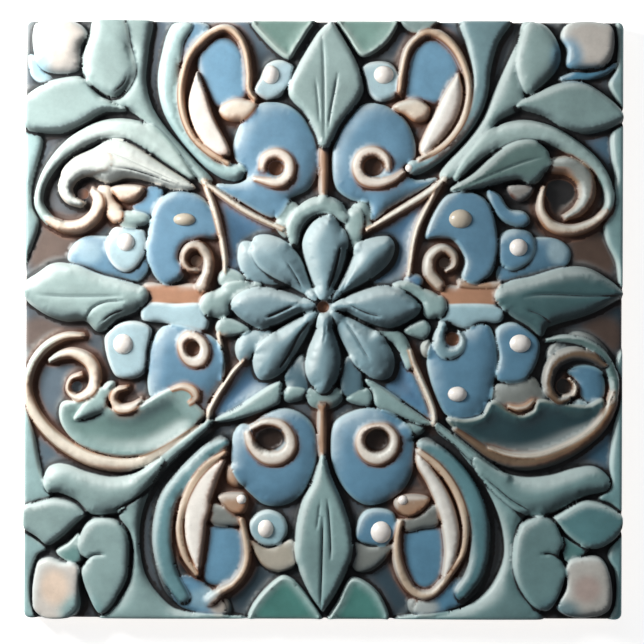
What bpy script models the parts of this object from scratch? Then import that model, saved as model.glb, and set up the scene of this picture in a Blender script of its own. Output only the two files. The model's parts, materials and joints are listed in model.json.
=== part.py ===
"""Square pressed wall tile with a floral relief on its face.

Metres, +Z up. The tile lies on its flat back with its face upwards, and the origin is the middle of the back.
"""
import math

import bmesh
import bpy
from mathutils import Vector

MM = 0.001
TILE_SIDE = 152.4 * MM
CORNER_RADIUS = 1.0 * MM
CORNER_STEPS = 4
GROUND = 7.0 * MM          # from the back to the lowest part of the face
SINK = 2.0 * MM            # how far each raised shape goes down into the slab
BLANK_MARGIN = 4.0 * MM    # how far the untrimmed slab runs past the trimmed edge
DOME_SEGMENTS = 10
DOME_RINGS = 6
DOME_RISE = 1.9 * MM

# Raised shapes: name, height over the ground, outline (x, y) around the tile's centre, in mm
SHAPES = [
    ("petal_n", 5, [(-0.8, 5), (-2.5, 9), (-4.4, 14), (-5.3, 18.5), (-4.2, 22.8), (-1, 26), (2.2, 26.2),
        (5, 22.6), (5.9, 19), (4.8, 14), (2.6, 8.5), (1.2, 5)]),
    ("petal_nw", 4.8, [(-1.6, 4.8), (-6, 7.4), (-11, 10), (-15.5, 13), (-18.2, 17.2), (-17.6, 20.8),
        (-14, 21.3), (-9.6, 19.5), (-6.2, 15.6), (-3.6, 9.4)]),
    ("petal_w", 5, [(-2, 3.6), (-7, 6.3), (-13, 7.9), (-18.5, 7.7), (-22.5, 5.4), (-23.3, 2.8), (-21, 0.3),
        (-17, -1.9), (-12.5, -1.3), (-7, 1.3)]),
    ("petal_sw", 4.8, [(-1.9, 1.8), (-6, 0.7), (-11, -2), (-15.5, -5.7), (-17.7, -10), (-16.6, -14.5),
        (-13.6, -14.9), (-9.8, -12.3), (-6.4, -7.2), (-3.2, -1.4)]),
    ("petal_s", 5, [(-0.9, 1.4), (-2, -3), (-4, -8.3), (-4.2, -13), (-2.4, -16.9), (0, -18.4),
        (2.4, -16.6), (4.2, -12.7), (4.1, -8.3), (2.6, -3), (1.4, 1.2)]),
    ("petal_se", 4.8, [(2, 2), (4, -3.4), (7, -9.3), (10.8, -13.5), (14.8, -15), (17.2, -13.8),
        (17.7, -9.6), (15, -4.6), (10.5, -1.2), (5.5, 1)]),
    ("petal_e", 5, [(2.2, 3.6), (7, 6.5), (13, 8.3), (18.8, 7.9), (22.8, 5.4), (24.6, 2.9), (22.3, 0.2),
        (17.5, -1.9), (12, -1), (6.5, 1.7)]),
    ("petal_ne", 4.8, [(1.6, 5), (5, 10.6), (7.4, 16), (8.6, 19.3), (12, 20.8), (16, 21.1), (17.8, 18.6),
        (16.3, 14.6), (12, 10.8), (6.4, 7.6)]),
    ("sepal_n", 3, [(-9.2, 24), (-8.3, 26.6), (-5.5, 29), (-3, 31), (0, 31.7), (3, 31), (4.9, 28.9),
        (5.2, 26), (2, 22), (-5, 20)]),
    ("sepal_nnw", 2.2, [(-12.4, 24.8), (-11.5, 28), (-9.6, 30.3), (-7.5, 29.8), (-6.2, 28.2), (-7.5, 22.5),
        (-10, 21)]),
    ("sepal_ne", 2.2, [(7, 28.6), (8.7, 29.9), (10.6, 30.2), (11.5, 28.6), (12, 25.8), (11.3, 22.9),
        (8.5, 21), (7, 25)]),
    ("sepal_wnw", 2.6, [(-20.7, 19.6), (-21.7, 16.6), (-21.2, 13.6), (-19.3, 10.4), (-16, 8.6), (-9, 9),
        (-13, 13), (-17, 19)]),
    ("sepal_w", 3, [(-31.3, 4), (-30.2, 6.2), (-27.2, 7.5), (-24, 9.2), (-20, 9.6), (-16, 8), (-18, 3),
        (-22, 0.6), (-26.5, 0.6), (-30, 1.4)]),
    ("sepal_sw", 2.8, [(-22.3, -7.4), (-21.6, -4.8), (-19, -3), (-14, -2), (-12, -5), (-18, -8.6),
        (-19.4, -10.2), (-21.4, -10.2)]),
    ("sepal_ssw", 2.6, [(-9.6, -13.5), (-9.2, -16.6), (-8.4, -18.8), (-6, -19.4), (-3.6, -18.4),
        (-2.6, -14), (-5.6, -9)]),
    ("sepal_s", 2.3, [(-4.2, -19.3), (-3.2, -21.5), (-1, -22.5), (1.8, -22.4), (4.1, -21.1), (4.8, -19.5),
        (3, -17), (-2.6, -17)]),
    ("sepal_sse", 2.6, [(4.4, -18), (6, -19.4), (8.6, -19), (9.9, -17.2), (9.7, -13.6), (6.4, -9),
        (4.6, -12)]),
    ("sepal_e", 3, [(17.6, 8.8), (20.4, 9.8), (23.6, 8.6), (27.8, 7.1), (30.4, 5.3), (31, 3.2), (29.8, 1),
        (27, 0.5), (22, 0.4), (18, 4)]),
    ("leaf_n", 3.8, [(1.8, 76.4), (1.8, 76.4), (-2, 72.4), (-6, 66), (-8.9, 60), (-8.6, 56.8), (-5, 52.8),
        (-2, 47), (-0.9, 44.2), (1.1, 44.2), (4, 49.6), (8.4, 55.4), (9.8, 59), (8, 65.5), (5, 71)]),
    ("leaf_s", 3.8, [(0, -74.2), (0, -74.2), (-3.2, -69.6), (-6.2, -62.4), (-6.9, -55.5), (-5.4, -47),
        (-2.6, -41), (-0.4, -34.6), (0.3, -34.8), (2, -40), (5, -47), (7.2, -54.5), (6.9, -61),
        (3.8, -68.5)]),
    ("leaf_w", 3.8, [(-76.8, 8.6), (-73, 11.4), (-69, 13.9), (-64, 13.7), (-57, 11.1), (-50, 9.4),
        (-46, 8), (-44.9, 5.2), (-47.5, 2.4), (-52.5, 0), (-55.4, -2.6), (-57.6, -2.9), (-60.4, -0.5),
        (-66, -0.4), (-71.5, 1.8), (-76.8, 6.2)]),
    ("leaf_e", 3.8, [(76.8, 6.8), (76.8, 6.8), (72.5, 10.3), (67, 13.2), (61.5, 13.4), (53, 11), (45.5, 9),
        (43.8, 5.8), (46.5, 2.4), (52.5, -1.5), (55.5, -3.8), (56.9, -1.6), (60, -0.2), (68, 2)]),
    ("pad_nw", 2.8, [(-18.7, 77), (-16.4, 72.8), (-13, 69.2), (-9.2, 66.5), (-7.2, 69), (-4.6, 73.2),
        (-2.6, 77)]),
    ("pad_ne", 2.8, [(3.2, 77), (6, 71.8), (9.6, 67.2), (13.5, 68.8), (17, 72.4), (18.4, 77)]),
    ("pad_sw", 2.8, [(-18.4, -77), (-17.4, -72.4), (-14.6, -68.6), (-10.6, -65.5), (-7.4, -66.6),
        (-3.8, -71), (-0.5, -75.4), (-0.5, -77)]),
    ("pad_se", 2.8, [(1.6, -77), (4, -71.8), (7.2, -65.9), (11, -67.1), (14.8, -71), (16.3, -77)]),
    ("bar_w", 1.6, [(-46, 8.8), (-38, 8.7), (-29, 8.6), (-29, 4), (-38, 3.9), (-46, 4)]),
    ("bar_e", 1.6, [(30, 8.4), (38, 8.3), (45, 8.2), (45, 4.2), (38, 4), (30, 4)]),
    ("bud_nw", 3.6, [(-73.8, 74.6), (-71, 76), (-66, 76.3), (-62.4, 74.8), (-60.5, 72.3), (-61.8, 69),
        (-62.2, 63.8), (-66, 62.6), (-71, 63.5), (-73.6, 67)]),
    ("leaf_nw_a", 3.6, [(-58.3, 77), (-59.8, 72), (-61.5, 66.5), (-60.6, 61), (-56.5, 57.6), (-53, 56.5),
        (-50.4, 58.6), (-48.4, 63), (-49.6, 69), (-51.8, 77)]),
    ("leaf_nw_b", 3.5, [(-77, 55), (-73, 58.8), (-67, 61), (-61.3, 61.2), (-58, 57.6), (-54, 54.8),
        (-50.6, 53.2), (-56, 52.6), (-62, 49.2), (-68, 47.3), (-77, 49.2)]),
    ("stem_nw", 2.7, [(-52.5, 77), (-49.2, 68), (-49, 61), (-52.4, 56.2), (-57, 56), (-52, 53.6),
        (-47.5, 52), (-44.3, 49.2), (-38, 42.6), (-33.5, 37.4), (-31.2, 34.6), (-28.6, 35.4), (-33, 40.2),
        (-38.5, 46.2), (-43, 52), (-45.6, 60), (-45, 69), (-44.4, 77)]),
    ("leaf_nw_c", 3.9, [(-66.8, 37), (-64, 40.8), (-59, 43.2), (-55, 45.4), (-50.4, 45.1), (-45, 42),
        (-40, 38.5), (-33, 33.6), (-38, 33.2), (-44, 35), (-50, 35.9), (-54.6, 34.7), (-58, 36),
        (-60.4, 36.4), (-63.6, 35)]),
    ("cup_nw", 2.2, [(-53, 23.3), (-55, 20.6), (-55, 16.8), (-53, 13.6), (-50.2, 12.4), (-47.4, 14.2),
        (-45.6, 18.4), (-46.4, 22.9), (-50, 23.7)]),
    ("pebble_nw", 2.6, [(-45, 18.6), (-43.8, 26), (-41.2, 30.9), (-37, 32.7), (-31.5, 31.2), (-28.2, 27),
        (-26.8, 21), (-31, 20.6), (-35.4, 19.4), (-37.2, 15.6), (-35.4, 12.4), (-37.4, 9.6), (-41, 9.3),
        (-43.9, 13)]),
    ("frame_w_up", 1.4, [(-77, 49), (-73, 47.8), (-71.9, 45.4), (-73, 40.5), (-74.8, 34), (-74.7, 28.7),
        (-73, 24.4), (-74.2, 20), (-75.8, 15.6), (-77, 11)]),
    ("crescent_nw", 2.6, [(-38.6, 75), (-41.4, 67), (-42.2, 60), (-40.6, 52.6), (-36.4, 45.8), (-31, 39.8),
        (-26, 36.3), (-21.8, 35.6), (-20.2, 37.8), (-21.6, 39.4), (-26, 39.6), (-31.4, 43.4),
        (-35.6, 49.2), (-37.3, 56), (-37.2, 64), (-36.4, 70), (-34, 75)]),
    ("tusk_nw", 3.2, [(-32.5, 63), (-32.5, 63), (-30.4, 58), (-28.3, 51.5), (-25.3, 45.5), (-24, 42.4),
        (-25.8, 41.2), (-29.4, 43.4), (-33, 48.4), (-34.5, 55)]),
    ("stub_nw", 2.8, [(-26.7, 53.6), (-24, 55.6), (-20.6, 56), (-17.4, 55), (-20.4, 51), (-23.6, 50.6),
        (-26, 51.8)]),
    ("disc_nw", 2.5, [(-23, 42.4), (-22, 48), (-19, 53.6), (-14.6, 55.3), (-9, 54.3), (-4.8, 50.8),
        (-1.8, 45), (-1.6, 38.6), (-4, 33.6), (-8.4, 31), (-13, 27.4), (-20, 30.6), (-26, 34),
        (-21.6, 34.8), (-19.6, 36.2), (-21, 38.8)]),
    ("cup_n_left", 2.1, [(-17.8, 58.2), (-16.2, 61.6), (-14.4, 65), (-11, 66), (-8, 64.2), (-9.2, 60.2),
        (-10.8, 57.4), (-14.4, 56.2)]),
    ("bud_ne", 3.6, [(60.2, 72.4), (62.6, 75.7), (67, 76.3), (72, 75.4), (73.5, 73), (72.9, 67),
        (70, 64.3), (65.5, 63.9), (62, 64.8), (61.8, 69)]),
    ("leaf_ne_a", 3.7, [(51.6, 75.3), (55, 75.6), (58.4, 72.2), (60, 67), (58, 62.6), (54.4, 59),
        (52.2, 57.6), (49.9, 61), (49, 66), (49.6, 71)]),
    ("leaf_ne_b", 3.5, [(52.5, 57.2), (57, 59.2), (62, 60.8), (68, 59.6), (73, 56.2), (76.3, 51.8),
        (73.4, 49.4), (68, 47.8), (62, 48.8), (56, 52), (50.4, 53.8), (49, 54.4)]),
    ("stem_ne", 2.7, [(51, 76.6), (49, 70.4), (46, 63.8), (43, 57.2), (40.6, 51.4), (37, 46.2), (33, 41.6),
        (29.6, 37.2), (31.8, 34.8), (36, 38), (41, 43.4), (44, 50.4), (50, 54.2), (51.4, 58.4), (49.6, 63),
        (50, 69.6), (53.5, 76.6)]),
    ("frame_e_top", 1.4, [(77, 54), (74.6, 56.8), (72.9, 60), (74.4, 64), (75, 70), (74.4, 76), (73.4, 77),
        (77, 77)]),
    ("frame_e_up", 1.6, [(77, 49.8), (73.6, 48.2), (73.6, 42), (74.4, 36), (72.7, 31), (71.4, 26),
        (72.2, 20.8), (74.8, 15), (75.6, 9), (77, 8)]),
    ("leaf_ne_c", 3.9, [(32.3, 33.3), (38, 37.3), (44, 42.7), (49, 45.3), (53.6, 45.4), (56.8, 43),
        (57.2, 40), (55.2, 36), (53.6, 34.9), (49, 35.8), (43, 34.6), (38, 33.3)]),
    ("cup_ne", 2.2, [(45.2, 21.8), (49, 23.2), (52.6, 22), (53.5, 18.6), (52, 15.2), (48.4, 13.2),
        (45.4, 14.4), (44.4, 18)]),
    ("pebble_ne", 2.6, [(28, 27.4), (30.4, 30.9), (36, 32.8), (40.8, 30.8), (43.4, 25.4), (44, 18),
        (42.6, 12), (38.6, 9.6), (35.4, 11), (36, 15.4), (33.4, 20.2), (29.6, 21), (26, 21.4)]),
    ("crescent_ne", 2.6, [(21, 38.8), (22.2, 37.1), (25.2, 37.8), (30, 40.9), (35, 45.6), (39, 51),
        (41.6, 57), (41.9, 64), (40, 70.6), (38, 75), (32, 75), (35.4, 70), (37.8, 62), (37, 54.5),
        (34, 48.6), (29.6, 43.6), (25.4, 40.8), (22.4, 40.4)]),
    ("tusk_ne", 3.2, [(34, 62.8), (34, 62.8), (35.2, 58), (34.2, 52.4), (31, 47), (27, 43.2), (24.8, 42.4),
        (24.6, 45), (28.2, 52.4), (31, 58.3)]),
    ("stub_ne", 2.8, [(17.5, 54.2), (20, 55.8), (23.7, 56), (26.6, 54.2), (26.2, 51.4), (23.4, 50.6),
        (20.6, 52.4)]),
    ("disc_ne", 2.5, [(2.1, 40), (3, 46.4), (6.2, 52), (10.5, 54.9), (15.6, 54.4), (20.4, 51), (22.9, 45),
        (22.7, 40.4), (20.6, 38.8), (22.4, 36), (27.6, 36.8), (22, 33), (16, 29.4), (12.6, 26),
        (11.6, 29.8), (6.8, 31), (3.2, 34)]),
    ("cup_n_right", 2.1, [(9.7, 64.4), (13, 65.7), (17, 65), (19, 61), (18.4, 57.2), (14.6, 55.8),
        (11.6, 57.6), (10.4, 61.4)]),
    ("bud_sw", 3.6, [(-73.6, -73), (-73.6, -67), (-72.6, -62.4), (-70, -60.9), (-66.6, -61.8),
        (-62.2, -62.8), (-61.9, -68), (-62.1, -73.6), (-65, -76), (-70.6, -76)]),
    ("leaf_sw_a", 3.7, [(-57.5, -50.6), (-53, -51.2), (-50, -54.6), (-49.3, -61), (-50.4, -67.4),
        (-53.6, -72.4), (-56.3, -74.8), (-59.8, -69.4), (-61.3, -64), (-59.8, -61), (-60.8, -60.3),
        (-62, -57), (-60.4, -52.4)]),
    ("leaf_sw_b", 3.5, [(-77, -48.2), (-73, -46.8), (-68.5, -45.8), (-63.5, -47), (-60.2, -49.6),
        (-60.2, -49.6), (-64.6, -53.6), (-69.5, -57.3), (-73, -55.2), (-77, -52.2)]),
    ("stem_sw", 2.7, [(-29.4, -26.4), (-36, -31.6), (-42, -36.4), (-48, -42), (-52, -49.6), (-48.8, -55),
        (-48.6, -63), (-51, -69.4), (-56, -75), (-57, -77), (-18.4, -77), (-21, -75.8), (-30, -75.2),
        (-37, -74.2), (-42, -70.5), (-45.6, -65), (-47, -57), (-46.4, -49.6), (-43.8, -43), (-39, -36.8),
        (-33, -31.4), (-28.6, -28)]),
    ("leaf_sw_c", 3.8, [(-71, -41), (-69.6, -37.8), (-66, -37.2), (-60, -39.2), (-53.5, -40.4), (-47, -39),
        (-41, -35.6), (-43, -41), (-50, -47), (-52.4, -49.2), (-59, -49.4), (-62.6, -46), (-67, -44.1),
        (-69.8, -43.8)]),
    ("frame_w_low", 1.4, [(-77, -21), (-75, -25), (-73.6, -32), (-72, -39.4), (-69.4, -45), (-73, -46.2),
        (-77, -47.4)]),
    ("frame_w_foot", 1.4, [(-77, -53.4), (-73.4, -56), (-70.4, -58.4), (-73, -60.2), (-74.8, -66),
        (-74.6, -72), (-73.4, -77), (-77, -77)]),
    ("boat_sw", 2.4, [(-66.4, -22.6), (-66, -27), (-61.6, -31.8), (-55, -34.6), (-48.4, -34.8),
        (-41, -32.4), (-34.6, -28.4), (-30.8, -25.2), (-36, -22.8), (-43, -20.8), (-49, -22.8), (-57, -21),
        (-62, -20.6)]),
    ("cup_sw", 2.4, [(-55.6, -5.2), (-53.5, -2), (-49.8, -0.6), (-45.5, -1.3), (-44, -3), (-44.8, -8),
        (-45.6, -13.4), (-49.4, -15.1), (-53.2, -13.8), (-55, -9.4)]),
    ("pebble_sw", 2.6, [(-40, -1.7), (-42.8, -4.2), (-44.3, -9), (-44.4, -14.6), (-43.8, -20),
        (-39, -20.6), (-35.6, -24.2), (-31, -24.6), (-29.2, -20.4), (-26, -15.6), (-25.4, -10), (-28, -5),
        (-34, -2.4)]),
    ("disc_sw", 2.5, [(-23.4, -34), (-22.8, -29.8), (-21, -26.9), (-18.6, -26.8), (-14.6, -24),
        (-10.4, -22.8), (-6, -24.1), (-2.8, -27.3), (-1.6, -32.5), (-2.6, -39), (-6, -44.8), (-11, -47.2),
        (-16, -46.2), (-20, -42.8), (-22.8, -38.4)]),
    ("crescent_sw", 2.6, [(-24, -31.6), (-26.2, -29.9), (-30.4, -32.2), (-36, -37.4), (-40.4, -43),
        (-43, -50.6), (-43.3, -58), (-41.4, -66), (-38, -71.6), (-32, -74.4), (-24, -75.4), (-24.6, -71.4),
        (-28.4, -68.6), (-34.4, -64.4), (-37.6, -57), (-37.8, -49), (-35, -41.4), (-29.6, -35.2),
        (-25.6, -33)]),
    ("tusk_sw", 3.2, [(-25, -35.4), (-29.6, -38.3), (-33.6, -43.6), (-35.2, -50.6), (-34.6, -57.4),
        (-31.4, -65.2), (-31.4, -65.2), (-30.4, -58), (-29.2, -49), (-27, -41.4)]),
    ("stub_sw", 2.8, [(-26.6, -45), (-24, -44.3), (-20.6, -44.2), (-19.2, -46), (-20.4, -49.2),
        (-23.6, -48.6)]),
    ("cup_s_left", 2.1, [(-18.6, -52.2), (-16.8, -49.6), (-13.6, -48.7), (-10.4, -50.4), (-9.2, -54),
        (-11.2, -57), (-14.6, -57.4), (-17.8, -55.2)]),
    ("chin_sw", 1.8, [(-18.6, -56), (-14, -58.2), (-8, -56), (-6.4, -59.4), (-7, -62.6), (-11.6, -64.1),
        (-15.6, -62), (-17.6, -59)]),
    ("bud_se", 3.6, [(62, -61.9), (67, -60), (70.6, -60.6), (72.8, -64.4), (73.5, -70.4), (72.4, -73.8),
        (68, -75.2), (62.4, -74.9), (59.6, -72.6), (61.8, -68)]),
    ("leaf_se_a", 3.7, [(50, -52.6), (53.4, -50.2), (56.6, -49.9), (59.4, -52.2), (60.8, -56.6),
        (60, -59.6), (61.6, -63.4), (60.4, -69), (57.6, -73.4), (54.8, -73.2), (50.4, -68), (48.6, -61.4),
        (49.2, -56)]),
    ("leaf_se_b", 3.5, [(58.6, -50), (58.6, -50), (62.6, -47.6), (67, -45.9), (71.6, -46.8), (76.2, -49.8),
        (75.4, -54), (71.4, -57.3), (67.6, -57.8), (62.4, -54.6)]),
    ("stem_se", 2.7, [(29.2, -26.4), (34.4, -30.9), (40, -36), (47, -40), (52, -48), (49.4, -53),
        (48.6, -61), (50.4, -68), (55, -73.6), (55.6, -77), (17.4, -77), (20, -75.7), (30, -74.7),
        (38, -72.4), (43, -68), (46.3, -61), (46.2, -54), (44, -47), (40, -40), (34.4, -32.9),
        (28.4, -27.6)]),
    ("leaf_se_c", 3.8, [(38.4, -35), (44, -38.2), (51, -40.1), (58, -39.6), (64, -37.9), (69, -37.5),
        (72.6, -40.2), (72.4, -42.8), (67, -44.4), (61.4, -47.4), (57, -49.3), (51, -49), (45, -44.8),
        (40, -39.8)]),
    ("frame_e_low", 1.4, [(77, -7), (74.8, -10), (74.2, -15), (75.4, -20), (74.4, -27), (73.4, -36),
        (73.4, -42), (70.4, -45.2), (73.4, -46.4), (77, -49)]),
    ("frame_e_foot", 1.4, [(77, -54), (74, -57), (73, -60), (74.8, -64), (74.8, -72), (73.4, -77),
        (77, -77)]),
    ("boat_se", 1.8, [(31.2, -25.6), (36, -25.8), (40, -24.6), (42.6, -20.8), (48, -23.6), (54, -23.4),
        (59, -21.6), (64.4, -24.8), (71.4, -20.6), (70.8, -24), (66, -29), (59, -33), (51, -34.9),
        (43.6, -33.4), (37, -29.6)]),
    ("cup_se", 2.4, [(44, -2.8), (46, -0.9), (49.6, -1), (53.4, -3.9), (54.9, -6), (54, -11),
        (51.8, -14.4), (47, -15.5), (44.4, -15), (44.8, -9)]),
    ("pebble_se", 2.6, [(36.4, -2.6), (39.4, -1.2), (42, -1.6), (43.8, -6.4), (44, -12), (42.8, -18),
        (42.2, -21), (39.6, -24.4), (34, -25.4), (30.4, -22.6), (28, -17), (26.8, -12.4), (27.6, -6)]),
    ("disc_se", 2.5, [(2.1, -30.6), (2.8, -26.8), (6.4, -24), (12, -22.5), (17, -23.7), (20.6, -26.2),
        (22.8, -30), (22.9, -37), (20.6, -42.6), (16, -46), (11, -46.8), (6.6, -44), (3.2, -38.6),
        (2.1, -34)]),
    ("crescent_se", 2.6, [(23.7, -31.6), (25.2, -30), (28.4, -31), (33.6, -35), (38.4, -41), (41.6, -48.4),
        (42.4, -56), (41.6, -63.4), (38.4, -70), (32, -73.6), (23.2, -74.8), (22.2, -71.6), (28, -69.8),
        (33.4, -66), (36.6, -60), (37.3, -53), (35.4, -45.6), (31, -38.8), (26, -34)]),
    ("tusk_se", 3.2, [(24, -33.6), (28.8, -39), (32.6, -45.6), (34.6, -52.4), (34.6, -58), (32.6, -63.4),
        (30.4, -66.2), (30.4, -66.2), (31.2, -58.4), (29.8, -50), (26.8, -42), (23.8, -36.6)]),
    ("stub_se", 2.8, [(18.3, -46), (20, -44.9), (24, -44.6), (27, -45.6), (25, -48.6), (21.6, -49.9),
        (19, -48.4)]),
    ("cup_s_right", 2.1, [(9, -51.6), (11, -48.8), (14.6, -48.2), (18, -49.6), (18.4, -54), (15.6, -57.2),
        (11.6, -56.9), (8.8, -55.8)]),
    ("chin_se", 1.8, [(7.6, -56.4), (12, -57.8), (17.8, -57), (15.6, -61), (12, -63.8), (8.6, -63.8),
        (6.6, -61.4)]),
]

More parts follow.
